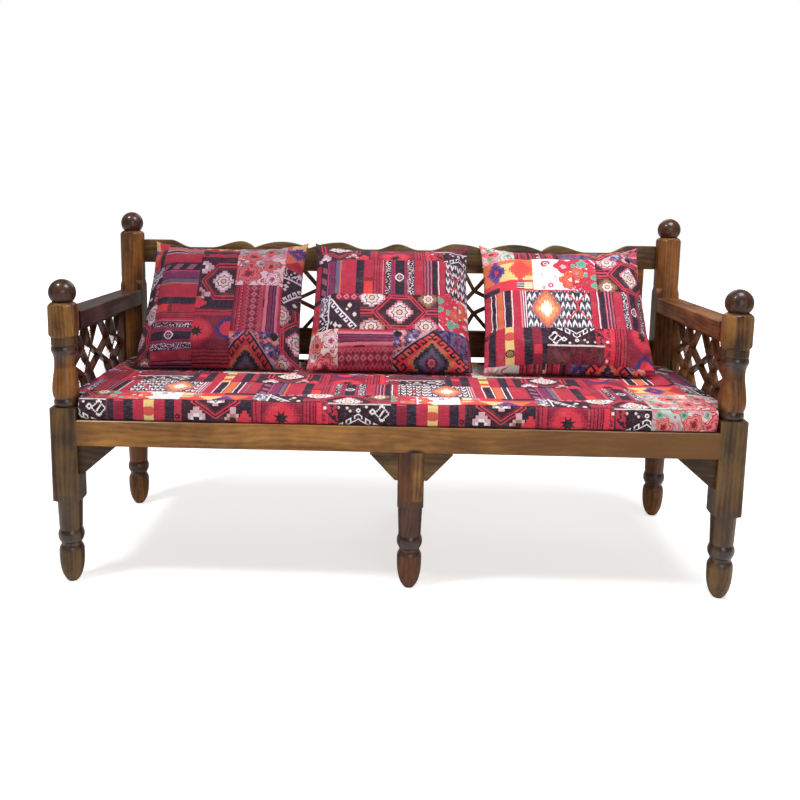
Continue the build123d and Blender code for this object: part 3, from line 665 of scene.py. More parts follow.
# The print, in mm: its tile, how much of it a cell of cloth holds, and where each run of it starts
TILE_ACROSS, TILE_UP = 775, 525
CUSHION_PRINT = 10
MATTRESS_PRINT = 20
BACK_START = 1000
UNDERSIDE_START = 2000
TOP_START = (-205, 200)
FLOWERED_START = (-1430, 5)
BORDER_START = (-40, 410)
FLOWERED_BORDER_START = (-1430, 30)
END_SHIFT = 40
JOIN_COLUMN = 80


def settle(piece):
    """Applies the live modifiers to the mesh."""
    graph = bpy.context.evaluated_depsgraph_get()
    mesh = bpy.data.meshes.new_from_object(
        piece.evaluated_get(graph), preserve_all_data_layers=True, depsgraph=graph)
    piece.modifiers.clear()
    piece.data = mesh


def fill_out(piece, pressure, slack, reach):
    """Blows the cloth up softly inside its pinned seams. No point goes further than reach."""
    scene = bpy.context.scene
    cut = [vertex.co.copy() for vertex in piece.data.vertices]
    pins = piece.vertex_groups.new(name="Seam")
    seam = piece.data.attributes["seam"].data
    pins.add([index for index in range(len(cut)) if seam[index].value < 1 * MM], 1.0, "REPLACE")
    cloth = piece.modifiers.new("Cloth", "CLOTH")
    cloth.settings.quality = 5
    cloth.settings.mass = 0.3
    cloth.settings.use_pressure = True
    cloth.settings.uniform_pressure_force = pressure
    cloth.settings.effector_weights.gravity = 0
    cloth.settings.vertex_group_mass = "Seam"
    cloth.settings.shrink_min = -slack
    cloth.settings.bending_stiffness = 0.4
    cloth.collision_settings.use_collision = False
    for number in range(1, CLOTH_FRAMES + 1):
        scene.frame_set(number)
    settle(piece)
    scene.frame_set(1)
    piece.vertex_groups.clear()
    for vertex, start in zip(piece.data.vertices, cut):
        move = vertex.co - start
        if move.length > reach:
            vertex.co = start + move * (reach / move.length)


def refine(piece):
    """One subdivision, which halves every cell. The print's coordinates stay straight."""
    finer = piece.modifiers.new("Subdivision", "SUBSURF")
    finer.levels = finer.render_levels = 1
    finer.uv_smooth = "NONE"
    settle(piece)


def crown(u, v):
    """Share of the full thickness at a place on a cushion, from -1 to 1 both ways. The filling sinks."""
    sunk = v + SINK * (1 - v * v)
    across, up = (max(1 - abs(place) ** CROWN_BREADTH, 0) ** CROWN_ROUNDING for place in (u, sunk))
    return across * up * (1 - crease(1 - abs(u), 1 - abs(v)))


def crease(aside, below):
    """Creases that fan out from a corner, as a share of the thickness. Both distances are from the corner."""
    near = max(0, 1 - hypot(aside, below) / CREASE_REACH)
    return CREASE_DEPTH * near * (0.5 + 0.5 * cos(atan2(below, aside) * CREASE_RATE))


def move_print(uv, faces, change):
    """Changes the print's coordinates on some faces."""
    for face in faces:
        for loop in face.loops:
            loop[uv].uv = change(*loop[uv].uv)


def pulled_in(u, v, width, height):
    """Where a point of the cloth lies: the sides are drawn in between the corners, most near the top."""
    midway, more = SIDE_PULL
    aside = (midway + more * v) * MM * (1 - v ** 4) * u ** 3
    midway, more = EDGE_PULL
    inward = (midway + more * v) * MM * (1 - u ** 4) * abs(v) ** 3 * (1 if v > 0 else -1)
    blunt = CORNER_BLUNT * (u * v) ** 8
    return u * width / 2 - aside - blunt * u, v * height / 2 - inward - blunt * v


def cushion_shell(width, height):
    """Front and back cloth of a cushion, upright, sewn together round the border."""
    shape = bmesh.new()
    uv = shape.loops.layers.uv.new("Print")
    seam = shape.verts.layers.float.new("seam")
    columns, rows = round(width / CUSHION_CELL), round(height / CUSHION_CELL)
    for side in (-1, 1):
        made = bmesh.ops.create_grid(
            shape, x_segments=columns, y_segments=rows, size=0.5, calc_uvs=True)["verts"]
        faces = list({face for vertex in made for face in vertex.link_faces})
        move_print(uv, faces, lambda s, t: (s * columns * CUSHION_PRINT, t * rows * CUSHION_PRINT))
        if side > 0:
            bmesh.ops.reverse_faces(shape, faces=faces)
            move_print(uv, faces, lambda s, t: (s, t + BACK_START))
        for vertex in made:
            u, v = vertex.co.x * 2, vertex.co.y * 2
            vertex[seam] = min((1 - abs(u)) * width / 2, (1 - abs(v)) * height / 2)
            x, z = pulled_in(u, v, width, height)
            vertex.co = (x, side * crown(u, v) * CUSHION_THICKNESS / 2, z)
    bmesh.ops.remove_doubles(shape, verts=shape.verts, dist=0.1 * MM)
    split_tips(shape)
    return shape


def split_tips(shape):
    """Cuts the faces at each corner from the tip inwards, so that front and back never share a triangle."""
    for tip in [vertex for vertex in shape.verts if len(vertex.link_edges) == 2]:
        beside = [edge.other_vert(tip) for edge in tip.link_edges]
        for face in tip.link_faces[:]:
            inner = [vertex for vertex in face.verts if vertex not in (tip, *beside)]
            bmesh.ops.connect_verts(shape, verts=[tip, *inner])


def cushion(side, turn_print, painted_shade, swell):
    """A filled cushion, leaning back on the top rail, flat where it rests. swell widens it left and right."""
    node = f"cushion_{side}"
    low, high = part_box(node)
    width = high.x - low.x + sum(swell)
    height = (high.z - low.z - CUSHION_EDGE * sin(CUSHION_LEAN)) / cos(CUSHION_LEAN)
    piece = take(f"kilim_cushion_{side}", cushion_shell(width, height))
    fill_out(piece, pressure=4, slack=0.035, reach=22 * MM)
    refine(piece)
    centre = (low + high) / 2
    centre.x += (swell[1] - swell[0]) / 2
    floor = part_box("mattress")[1].z + SEAM_GAP
    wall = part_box("back_rail_top")[0].y - SEAM_GAP
    fullest = FULLEST * CUSHION_THICKNESS
    for vertex in piece.data.vertices:
        x, y, z = vertex.co
        y = clamp(y, -fullest, fullest)
        vertex.co = (
            centre.x + x,
            min(centre.y + y * cos(CUSHION_LEAN) + z * sin(CUSHION_LEAN), wall),
            max(centre.z - y * sin(CUSHION_LEAN) + z * cos(CUSHION_LEAN), floor))
    finish_soft(piece, node, turn_print, painted_shade)


def spaced(step, cut_steps, cut, steps, length):
    """Where a step lies, when the first cut_steps fill the cut and the other steps fill the length."""
    if step < cut_steps:
        return step * cut / cut_steps
    return cut + (step - cut_steps) * length / steps


def lay_cover(shape, uv, low, high, notch_x, notch_y):
    """The top of the mattress, with its front corners cut back beside the posts."""
    size = high - low
    columns, rows = round(size.x / MATTRESS_CELL[0]), round(size.y / MATTRESS_CELL[1])
    notch_rows = round(notch_y / MATTRESS_CELL[1])
    bmesh.ops.create_grid(shape, x_segments=columns, y_segments=rows, size=0.5, calc_uvs=True)
    for vertex in shape.verts:
        column, row = round((vertex.co.x + 0.5) * columns), round((vertex.co.y + 0.5) * rows)
        x = spaced(min(column, columns - column), NOTCH_COLUMNS, notch_x,
                   columns - 2 * NOTCH_COLUMNS, size.x - 2 * notch_x)
        y = spaced(row, notch_rows, notch_y, rows - notch_rows, size.y - notch_y)
        vertex.co = (low.x + x if column <= columns / 2 else high.x - x, low.y + y, high.z)
    corners = [face for face in shape.faces
               if face.calc_center_median().y < low.y + notch_y
               and abs(face.calc_center_median().x) > high.x - notch_x]
    bmesh.ops.delete(shape, geom=corners, context="FACES")
    for face in shape.faces:
        left, foot = FLOWERED_START if joined(face, low) else TOP_START
        move_print(uv, [face], lambda s, t: (
            s * columns * MATTRESS_PRINT + left, t * rows * MATTRESS_PRINT + foot))


def add_underside(shape, uv, thickness):
    """A copy of the top, turned over and moved down."""
    made = bmesh.ops.duplicate(shape, geom=list(shape.faces))["geom"]
    faces = only(bmesh.types.BMFace, made)
    bmesh.ops.reverse_faces(shape, faces=faces)
    bmesh.ops.translate(shape, verts=only(bmesh.types.BMVert, made), vec=(0, 0, -thickness))
    move_print(uv, faces, lambda s, t: (s, t + UNDERSIDE_START))


def add_border(shape, uv, low, high):
    """The strip that joins the top and the underside."""
    drop = -(high - low).z / BORDER_LEVELS
    rim = [edge for edge in shape.edges if edge.is_boundary and edge.verts[0].co.z > high.z - 1 * MM]
    for _ in range(BORDER_LEVELS):
        made = bmesh.ops.extrude_edge_only(shape, edges=rim)["geom"]
        bmesh.ops.translate(shape, verts=only(bmesh.types.BMVert, made), vec=(0, 0, drop))
        rim = [edge for edge in only(bmesh.types.BMEdge, made) if edge.is_boundary]
        for face in only(bmesh.types.BMFace, made):
            lay_border(face, uv, low)


def mattress_shell(low, high, notch_x, notch_y):
    """A long box of cloth: top, underside and border, sewn together."""
    shape = bmesh.new()
    uv = shape.loops.layers.uv.new("Print")
    seam = shape.verts.layers.float.new("seam")
    lay_cover(shape, uv, low, high, notch_x, notch_y)
    add_underside(shape, uv, (high - low).z)
    add_border(shape, uv, low, high)
    bmesh.ops.remove_doubles(shape, verts=shape.verts, dist=0.1 * MM)
    bmesh.ops.recalc_face_normals(shape, faces=shape.faces)
    for vertex in shape.verts:
        sides = min(vertex.co.z - low.z, high.z - vertex.co.z)
        upright = any(abs(face.normal.z) < 0.5 for face in vertex.link_faces)
        vertex[seam] = sides if upright else FAR_FROM_SEAM
    put_in_order(shape)
    return shape


def put_in_order(shape):
    """Sorts edges and faces by their vertices. The extrusion leaves them in a new order on each run."""
    shape.verts.index_update()
    for items in (shape.edges, shape.faces):
        items.sort(key=lambda item: corner_code(item, len(shape.verts)))


def corner_code(item, count):
    """A number that ranks an edge or a face by its two or three lowest vertex indices, all under count."""
    code = 0
    for index in sorted(vertex.index for vertex in item.verts)[:3]:
        code = code * count + index
    return code


def joined(face, low):
    """Whether a face belongs to the length of flowered cloth that is pieced on at the right end."""
    return face.calc_center_median().x > low.x + JOIN_COLUMN * MATTRESS_CELL[0]


def lay_border(face, uv, low):
    """The border strip has its own run of the print, measured along each side."""
    left, foot = FLOWERED_BORDER_START if joined(face, low) else BORDER_START
    for loop in face.loops:
        place = loop.vert.co
        if abs(face.normal.x) > 0.5:
            along = round((place.y - low.y) / MATTRESS_CELL[1]) * MATTRESS_PRINT + END_SHIFT
        else:
            along = round((place.x - low.x) / MATTRESS_CELL[0]) * MATTRESS_PRINT
        loop[uv].uv = (along + left, foot + (place.z - low.z) / MM)


def bump_between(value, low, high):
    """A smooth rise and fall, 0 outside the two limits and 1 midway."""
    share = clamp((value - low) / (high - low), 0.0, 1.0)
    return sin(share * pi) ** 2


def rumple(x, y, end, front):
    """How the cover lies: shallow dips in front of the cushions, and a low fold by the right arm."""
    clear = clamp((front - y) / DIP_EDGE, 0.0, 1.0)
    dips = 3 + 2 * sin(9 * x + 2) * sin(14 * y + 1) + sin(31 * x + 5 * y)
    start, finish = FOLD_FROM_END
    fold = bump_between(x + 0.05 * y, end - start, end - finish) * bump_between(y, *FOLD_ALONG)
    return FOLD_HEIGHT * fold - DIP_DEPTH * clear * dips


def mattress():
    """The thin mattress: a stuffed cover with a border strip."""
    low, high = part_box("mattress")
    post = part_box("post_front_left")[1]
    notch_x = high.x + post.x + POST_GAP
    notch_y = post.y + POST_GAP - low.y
    piece = take("kilim_mattress", mattress_shell(low, high, notch_x, notch_y))
    fill_out(piece, pressure=3, slack=0.015, reach=8 * MM)
    refine(piece)
    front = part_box("cushion_middle")[0].y
    for vertex in piece.data.vertices:
        x, y, z = vertex.co
        z = clamp(z, low.z, high.z)
        share = ((z - low.z) / (high.z - low.z)) ** 2
        vertex.co = (
            clamp(x, low.x - SIDE_BULGE, high.x + SIDE_BULGE),
            clamp(y, low.y - FRONT_BULGE, high.y + REAR_BULGE),
            z + rumple(x, y, high.x, front) * share)
    finish_soft(piece, "mattress", lambda s, t: (s, t), 0.0)


def finish_soft(piece, node, turn_print, painted_shade):
    mesh = piece.data
    # Painted shade: the share by which the print of the whole piece is darkened.
    depth = mesh.attributes.new("painted_shade", "FLOAT", "POINT")
    depth.data.foreach_set("value", [painted_shade] * len(mesh.vertices))
    layer = mesh.uv_layers["Print"].uv
    for entry in layer:
        entry.vector = turn_print(*entry.vector)
    mesh.materials.clear()
    for material in PATCHES.materials:
        mesh.materials.append(material)
    for face in mesh.polygons:
        face.use_smooth = True
        corners = (layer[index].vector for index in face.loop_indices)
        centre = sum(corners, Vector((0, 0))) / len(face.vertices)
        face.material_index = PATCHES.find(centre.x, centre.y)
    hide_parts(node)
    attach(piece, node)


class Patches:
    """The patchwork that the cloth is printed with, one material to a patch."""

    def __init__(self):
        self.materials = []
        self.places = []

    def add(self, material, low_s, low_t, width, height):
        self.materials.append(material)
        self.places.append((low_s, low_t, width, height))

    def find(self, s, t):
        """Index of the patch that covers a place in the print."""
        return next((index for index, (low_s, low_t, width, height) in enumerate(self.places)
                     if (s - low_s) % TILE_ACROSS < width and (t - low_t) % TILE_UP < height), 0)


PATCHES = Patches()


def soft_pieces():
    mattress()
    # The third number of each cushion is its painted shade: the left one is painted darkest and the right one
    # barely, as the shade they lie in.
    cushion("left", lambda x, y: (665 - y, x + 222), 0.66, (8 * MM, 4 * MM))
    cushion("middle", lambda x, y: (x + 290, y + 35), 0.3, (0, 8 * MM))
    cushion("right", lambda x, y: (1060 - x, 545 - y), 0.06, (10 * MM, 10 * MM))


# ---------------------------------------------------------------- kilim print

RED = colour(184, 40, 66)
BRIGHT = colour(220, 52, 72)
ROSE = colour(198, 76, 104)
PINK = colour(222, 128, 142)
CREAM = colour(238, 222, 210)
WHITE = colour(240, 234, 236)
YELLOW = colour(236, 204, 132)
ORANGE = colour(222, 112, 70)
MAROON = colour(96, 18, 44)
WINE = colour(138, 26, 56)
PLUM = colour(46, 16, 38)
NAVY = colour(22, 22, 44)
BLACK = colour(12, 8, 18)
MAUVE = colour(126, 44, 92)
SLATE = colour(104, 98, 128)
BLUE = colour(58, 44, 116)
TEAL = colour(108, 176, 152)
LILAC = colour(182, 156, 188)
TAN = colour(176, 122, 92)
BLUSH = colour(214, 176, 184)

STITCH = 4


def printed_cloth():
    """Woven cotton under a print: threads, slight fading, a shadow and pucker by the seams, and a painted
    shade that darkens each whole piece by its own share.
    """
    tree, graph, enter, leave = new_group(
        "Printed cloth",
        {"Ink": "Color", "Across": "Float", "Up": "Float", "Seam": "Float", "Painted shade": "Float"},
        {"Color": "Color", "Roughness": "Float", "Height": "Float"})
    across, up, seam, painted_shade = (Field(graph, enter[name]) for name in ("Across", "Up", "Seam", "Painted shade"))
    place = graph.vector(across, up)
    fading = graph.noise(place, 0.016, 3.0, 0.6)
    speckle = graph.noise(place, 0.3, 3.0, 0.7)
    warp = graph.maths("SINE", across * 3.9)
    weft = graph.maths("SINE", up * 3.9)
    slubs = graph.noise(graph.vector(across * 0.25, up * 2.2), 0.2, 2.0, 0.6)
    rubbed = graph.mix(fading.smooth(0.45, 0.8) * 0.08 + speckle.smooth(0.5, 0.8) * 0.1, enter["Ink"], CREAM)
    rubbed = graph.mix(slubs.smooth(0.5, 0.75) * 0.22, rubbed, PINK)
    inked = graph.mix(speckle.smooth(0.5, 0.2) * 0.34 + slubs.smooth(0.48, 0.25) * 0.26, rubbed, PLUM)
    # Painted shade: the print of each piece is darkened towards grey violet by its own share, most on the
    # left cushion, as the shade it lies in.
    inked = graph.mix(painted_shade, inked, colour(150, 112, 150), "MULTIPLY")
    sewn = seam.smooth(5 * MM, 0.5 * MM)
    graph.feed(leave["Color"], graph.mix(sewn * 0.5, inked, BLACK))
    graph.feed(leave["Roughness"], 0.74 + speckle * 0.2)
    pucker = graph.noise(place, 0.09, 2.0) * seam.smooth(22 * MM, 2 * MM)
    graph.feed(leave["Height"], warp * weft * 0.07 + speckle * 0.3 + pucker * 2.6)
    return tree


def print_place():
    """Where a point lies in its patch, in mm, with the slight unevenness of hand weaving."""
    tree, graph, enter, leave = new_group(
        "Print place",
        {"Place": "Vector", "Left": "Float", "Foot": "Float"},
        {"Across": "Float", "Up": "Float"})
    along, up, _ = graph.split(enter["Place"])
    left, foot = Field(graph, enter["Left"]), Field(graph, enter["Foot"])
    uneven = graph.noise(enter["Place"], 0.03, 2.0) - 0.5
    rough = graph.noise(enter["Place"], 0.22, 1.0) - 0.5
    graph.feed(leave["Across"], (along - left).wrap(TILE_ACROSS) + uneven * 4 + rough * 2)
    graph.feed(leave["Up"], (up - foot).wrap(TILE_UP) + uneven * 4 - rough * 2)
    return tree


CLOTH = printed_cloth()
PLACE = print_place()


def patch(name, left, foot, width, height, paint):
    """One patch of the print, with its motif drawn by paint in mm from the patch's lower left corner."""
    material, graph, shader = new_material(f"kilim {name}")
    flat = graph.node("UVMap", uv_map="Print").outputs[0]
    place = graph.use(PLACE, {"Place": flat, "Left": left, "Foot": foot})
    s, t = Field(graph, place["Across"]), Field(graph, place["Up"])
    seam, painted_shade = (graph.node("Attribute", attribute_name=kind).outputs["Fac"] for kind in ("seam", "painted_shade"))
    made = graph.use(CLOTH, {"Ink": paint(graph, s, t), "Across": s, "Up": t, "Seam": seam, "Painted shade": painted_shade})
    bump = graph.node("Bump", {"Height": made["Height"], "Strength": 0.35, "Distance": 1.2 * MM})
    graph.fill(shader, {
        "Base Color": made["Color"], "Roughness": made["Roughness"], "Sheen Weight": 0.04,
        "Specular IOR Level": 0.3, "Normal": bump.outputs[0]})
    PATCHES.add(material, left, foot, width, height)


def diamond(s, t, middle, half_width, half_height, step=STITCH, rise=None):
    """0 in the middle of a stepped diamond and 1 at its points."""
    x = abs(s - middle[0]).stepped(step)
    y = abs(t - middle[1]).stepped(rise or step)
    return x / half_width + y / half_height


def star(s, t, middle):
    """Distance from the middle of an eight-pointed star."""
    x, y = abs(s - middle[0]), abs(t - middle[1])
    return x.most(y).least((x + y) * 0.707)


def petals(graph, s, t, middle, count=5, depth=0.22):
    """Distance from the middle of a flower. Petals are round where depth is above 0 and pointed below it."""
    x, y = s - middle[0], t - middle[1]
    turn = graph.maths("ARCTAN2", y, x)
    notch = 1 - abs(graph.maths("COSINE", turn * (count / 2)))
    return graph.maths("SQRT", x * x + y * y) * (notch * depth + 1)


def rose(graph, ground, s, t, middle, size, inks, count=5):
    """A full flower with three rings of petals. inks are (edge, petals, heart)."""
    sway = graph.noise(graph.vector(s, t, size), 0.05, 2.0) * 0.9 - 0.45
    reach = petals(graph, s, t, middle, count, 0.3) / size + sway
    shade = graph.mix(reach.below(1.0), ground, inks[0])
    ring = (reach * 3.2).wrap(1)
    shade = graph.mix(reach.below(0.9) * ring.above(0.3), shade, inks[1])
    return graph.mix(reach.below(0.28), shade, inks[2])


def medallion(graph, ground, s, t, middle, size, inks=(PINK, WHITE)):
    """A stepped cross with a pale edge, and an eight-pointed star in a dark ring."""
    reach = diamond(s, t, middle, size * 1.45, size * 1.2, 8)
    heart = star(s, t, middle)
    shade = graph.mix(reach.below(1.02), ground, inks[0])
    shade = graph.mix(reach.below(0.84), shade, inks[1])
    shade = graph.mix(heart.below(size * 0.56), shade, PLUM)
    shade = graph.mix(heart.below(size * 0.48), shade, CREAM)
    shade = graph.mix(heart.between(size * 0.16, size * 0.25), shade, WINE)
    return graph.mix(heart.below(size * 0.1), shade, YELLOW)


def hooks(along, across, pitch, reach, thick, line=None):
    """A run of latch hooks: a line with bent hooks on one side."""
    a = along.wrap(pitch)
    base = across.between(0, thick if line is None else line)
    stem = a.below(thick) * across.between(0, reach)
    top = a.below(pitch * 0.68) * across.between(reach - thick, reach)
    tip = a.between(pitch * 0.68 - thick, pitch * 0.68) * across.between(reach * 0.45, reach)
    return base.most(stem).most(top).most(tip)


def mottle(graph, s, t, scale, shades):
    """Blotches of several shades."""
    value = graph.noise(graph.vector(s, t), scale, 3.0, 0.7)
    stops = [(0.30 + 0.4 * index / len(shades), shade) for index, shade in enumerate(shades)]
    return graph.ramp(value, stops)


def swirls(graph, ground, s, t, scale, turns, share, ink, seed=0.0):
    """Curling brush strokes that follow the contours of a soft noise."""
    value = graph.noise(graph.vector(s, t, seed), scale, 1.0, 0.4)
    stroke = (value * turns).wrap(1)
    return graph.mix(stroke.smooth(share, share * 0.7), ground, ink)


# ----- bottom row of the tile: florals, bands and the hooked diamond

def upright_stripes(graph, s, t):
    shade = graph.bands(s, (
        (8, WINE), (10, BLACK), (9, MAROON), (3, ROSE), (16, RED), (5, BLACK), (11, WINE), (4, BLACK),
        (3, PINK), (12, BLACK), (6, WINE), (4, BLACK), (7, RED), (9, BLACK), (4, RED), (14, WINE),
        (4, BLACK), (8, RED), (3, BLACK), (16, WINE)))
    knot = diamond(s, t.wrap(40), (74, 20), 7, 11)
    return graph.mix(knot.below(1.0), shade, BLUSH)


def florals(graph, s, t):
    ground = graph.mix(s.smooth(60, 130), graph.mix(0.5, WHITE, TEAL), CREAM)
    flush = graph.noise(graph.vector(s, t), 0.016, 2.0).smooth(0.46, 0.6) * s.smooth(205, 150)
    shade = graph.mix(flush * 0.8, ground, ROSE)
    shade = swirls(graph, shade, s, t, 0.02, 7, 0.3, graph.mix(flush, colour(206, 70, 92), BLUSH), 3.0)
    for middle, size in (((34, 44), 26), ((78, 104), 30), ((112, 50), 34), ((156, 110), 26)):
        shade = rose(graph, shade, s, t, middle, size, (RED, colour(226, 132, 124), WINE))
    shade = rose(graph, shade, s, t, (204, 118), 28, (ROSE, WHITE, RED))
    shade = rose(graph, shade, s, t, (182, 40), 44, (RED, colour(228, 120, 124), WINE), 6)
    leaf = petals(graph, s.wrap(64), t.wrap(52), (20, 26), 3, 0.4)
    shade = graph.mix(leaf.below(11) * s.below(150), shade, TEAL)
    return graph.mix(leaf.below(5) * s.below(150), shade, colour(66, 120, 104))


def banded(graph, s, t):
    rows = graph.bands(t, (
        (6, MAROON), (5, WINE), (4, RED), (3, MAROON), (9, RED), (3, MAROON), (9, RED),
        (49, colour(146, 38, 64)), (4, ROSE),
        (5, RED), (3, ROSE), (9, PINK), (3, BLACK), (5, WINE), (7, MAUVE), (3, NAVY), (7, MAUVE), (3, BLACK),
        (8, PINK), (4, ROSE), (6, RED)))
    toothed = (abs(t - 64) + s.centred(13) * 1.3).between(21, 27)
    rows = graph.mix(toothed, rows, colour(196, 84, 104))
    rings = diamond(s.wrap(22), t, (11, 64), 9, 11, 3)
    rows = graph.mix(rings.between(0.4, 1.0), rows, colour(208, 112, 126))
    small = diamond(s.wrap(22), abs(t - 64), (0, 12), 6, 7, 3)
    rows = graph.mix(small.below(1.0), rows, MAROON)
    rows = graph.mix(s.wrap(11).below(4) * t.between(24, 28), rows, PINK)
    dash = s.between(48, 80) * t.between(95, 99)
    return graph.mix(dash, rows, BLACK)


def hooked_diamond(graph, s, t):
    x, y = abs(s - 117), abs(t - 55)
    reach = x / 127 + y / 98
    left = mottle(graph, s, t, 0.026, (LILAC, BLUSH, ORANGE, BLUE, SLATE, LILAC, WHITE))
    right = mottle(graph, s, t, 0.028, (BLUE, MAUVE, SLATE, BLUE, NAVY, MAUVE))
    shade = graph.mix(s.above(117), left, right)
    shade = graph.mix(petals(graph, s, t, (14, 140), 3).below(12), shade, BLACK)
    shade = graph.mix(reach.between(1.0, 1.05) * s.below(117), shade, LILAC)
    shade = graph.mix(reach.below(1.0), shade, BLACK)
    flush = graph.noise(graph.vector(s, t), 0.03, 2.0).smooth(0.45, 0.6)
    shade = graph.mix(reach.below(0.95), shade, graph.mix(flush, BRIGHT, colour(222, 96, 84)))
    along = (x * 0.61 - y * 0.79) + 206
    inward = (0.95 - reach) * 78
    shade = graph.mix(hooks(along, inward, 24, 20, 5, 2), shade, BLACK)
    core = diamond(s, t, (117, 55), 76, 70, 5, 7)
    tooth = graph.bands(core, (
        (0.12, ROSE), (0.1, NAVY), (0.12, MAUVE), (0.14, SLATE), (0.12, colour(70, 84, 110)), (0.18, NAVY),
        (0.08, TAN), (0.1, ORANGE), (0.9, BRIGHT)))
    shade = graph.mix(core.below(0.96), shade, tooth)
    return graph.mix(star(s, t, (117, 55)).between(5, 9), shade, PINK)


# ----- second row: roses, stepped diamonds, running hooks, hexagon and leaves

def roses_on_cream(graph, s, t):
    fleck = graph.noise(graph.vector(s, t), 0.14, 2.0).above(0.62)
    shade = graph.mix(fleck, WHITE, graph.mix(0.5, CREAM, TEAL))
    curl = petals(graph, s, t, (78, 22), 2, 0.3)
    shade = graph.mix(curl.between(8, 15) * (s - t).above(44), shade, RED)
    shade = graph.mix(curl.below(5), shade, ROSE)
    shade = rose(graph, shade, s, t, (22, 32), 30, (RED, BRIGHT, BLUSH))
    shade = rose(graph, shade, s, t, (4, 84), 34, (BRIGHT, ORANGE, CREAM))
    for middle, size in (((66, 104), 9), ((24, 104), 6), ((88, 112), 5), ((50, 74), 3), ((92, 66), 3)):
        shade = graph.mix(petals(graph, s, t, middle).between(size * 0.4, size), shade, ROSE)
    return graph.mix(t.above(121), shade, RED)


def stepped_diamonds(graph, s, t):
    shade = graph.mix(s.between(58, 110) * t.between(18, 86), ORANGE, YELLOW)
    shade = graph.mix(t.between(70, 86) * s.below(108), shade, YELLOW)
    ragged = (s.centred(10) + t.centred(10)) * 0.035
    first = diamond(s, t, (40, 46), 38, 44, 5, 7) + ragged
    shade = graph.mix(first.below(1.2), shade, colour(222, 74, 66))
    second = diamond(s, t, (122, 44), 34, 46, 5, 7) + ragged
    shade = graph.mix(second.below(1.2), shade, colour(92, 64, 140))
    shade = graph.mix(second.below(0.8), shade, BLUE)
    shade = graph.mix(second.below(0.45), shade, BRIGHT)
    third = diamond(s, t, (192, 46), 30, 46, 5, 7)
    shade = graph.mix(third.below(1.0), shade, RED)
    shade = graph.mix(t.above(88), shade, BRIGHT)
    shade = graph.mix(t.between(104, 125) * s.above(112), shade, NAVY)
    block = s.between(2, 52) * t.between(94, 118)
    shade = graph.mix(block, shade, graph.mix(s.above(28), YELLOW, NAVY))
    return graph.mix(block * (t.wrap(8).below(3)), shade, WHITE)


def curls(graph, s, t):
    shade = graph.mix(t.smooth(40, 90), PLUM, SLATE)
    return swirls(graph, shade, s, t, 0.035, 5, 0.3, WHITE, 2.0)


def running_hooks(graph, s, t):
    ground = mottle(graph, s, t, 0.05, (PLUM, NAVY, PLUM, BLACK))
    along = (s - 10) * 0.66 - (t - 110) * 0.75 + 2
    beside = (s - 10) * -0.75 - (t - 110) * 0.66
    shade = graph.mix(hooks(along, beside, 22, 19, 5) * along.between(0, 134), ground, WHITE)
    shade = graph.mix(s.between(0, 5), shade, WHITE)
    specks = (((72, 84), 7), ((64, 70), 4), ((88, 52), 7), ((14, 22), 5), ((30, 14), 8), ((44, 10), 6))
    for middle, size in specks:
        shade = graph.mix(diamond(s, t, middle, size, size * 1.2, 2).below(1.1), shade, CREAM)
    top = t.above(102) * s.above(26)
    shade = graph.mix(top, shade, WINE)
    lozenge = diamond(s.wrap(24), t, (12, 114), 10, 10, 3)
    return graph.mix(lozenge.between(0.4, 1.0) * top, shade, PINK)


def hexagon(graph, s, t):
    x, y = abs(s - 118), abs(t - 62)
    slope = x + y * 0.86
    slanted = (slope.between(68, 74) + slope.between(79, 85)) * y.below(59)
    level = (y.between(46, 51) + y.between(55, 59)) * slope.below(85)
    bars = (y.between(3, 9) + y.between(14, 16)) * x.above(80)
    shade = graph.mix(y.above(60) * x.below(36), PLUM, WINE)
    shade = graph.mix(slanted.most(level * x.below(36)).most(bars).least(1), shade, colour(206, 54, 74))
    shade = medallion(graph, shade, s, t, (118, 62), 33)
    shade = medallion(graph, shade, s, t, (34, 112), 30, (BLUSH, WHITE))
    shade = medallion(graph, shade, s, t, (204, 108), 26, (colour(128, 84, 62), TAN))
    shade = medallion(graph, shade, s, t, (34, 8), 30, (TAN, BLUSH))
    return medallion(graph, shade, s, t, (196, 12), 31, (ROSE, BLUSH))


def rose_leaves(graph, s, t):
    shade = mottle(graph, s, t, 0.04, (CREAM, RED, BRIGHT, RED, BLUSH, CREAM))
    shade = rose(graph, shade, s, t, (30, 92), 24, (WINE, BRIGHT, ROSE))
    shade = rose(graph, shade, s, t, (58, 60), 26, (RED, ORANGE, PINK))
    for middle, size in (((8, 104), 12), ((6, 74), 12), ((42, 22), 17), ((32, 66), 8), ((70, 30), 10)):
        leaf = petals(graph, s, t, middle, 3, 0.3)
        shade = graph.mix(leaf.below(size), shade, TEAL)
        shade = graph.mix(leaf.between(size * 0.3, size * 0.42), shade, colour(66, 110, 96))
    stem = (s + t * 0.62).between(12, 18) * t.below(40)
    return graph.mix(stem, shade, WHITE)


# ----- third row: stripes and ikat

def flames(graph, s, t, inks):
    """Rows of pale flames with ragged tips on a dark ground."""
    rough = graph.noise(graph.vector(s * 3, t), 0.12, 2.0) * 10
    fork = s.centred(17)
    tooth = (t + fork * 2.4 + rough).wrap(31)
    shade = graph.mix(tooth.below(14), mottle(graph, s, t, 0.05, inks), WHITE)
    return graph.mix(fork.below(1.6), shade, NAVY)


def zigzag_ikat(graph, s, t):
    x = abs(s - 40)
    shade = flames(graph, x + 4, t, (NAVY, colour(58, 84, 86), NAVY, SLATE, colour(92, 136, 124)))
    upper = abs(x - (42 - t) * 0.8).below(3) * t.below(45)
    lower = abs(x - (t - 62) * 0.85).below(3) * t.above(60)
    link = x.below(3) * t.between(40, 63)
    return graph.mix(upper.most(lower).most(link), shade, BRIGHT)


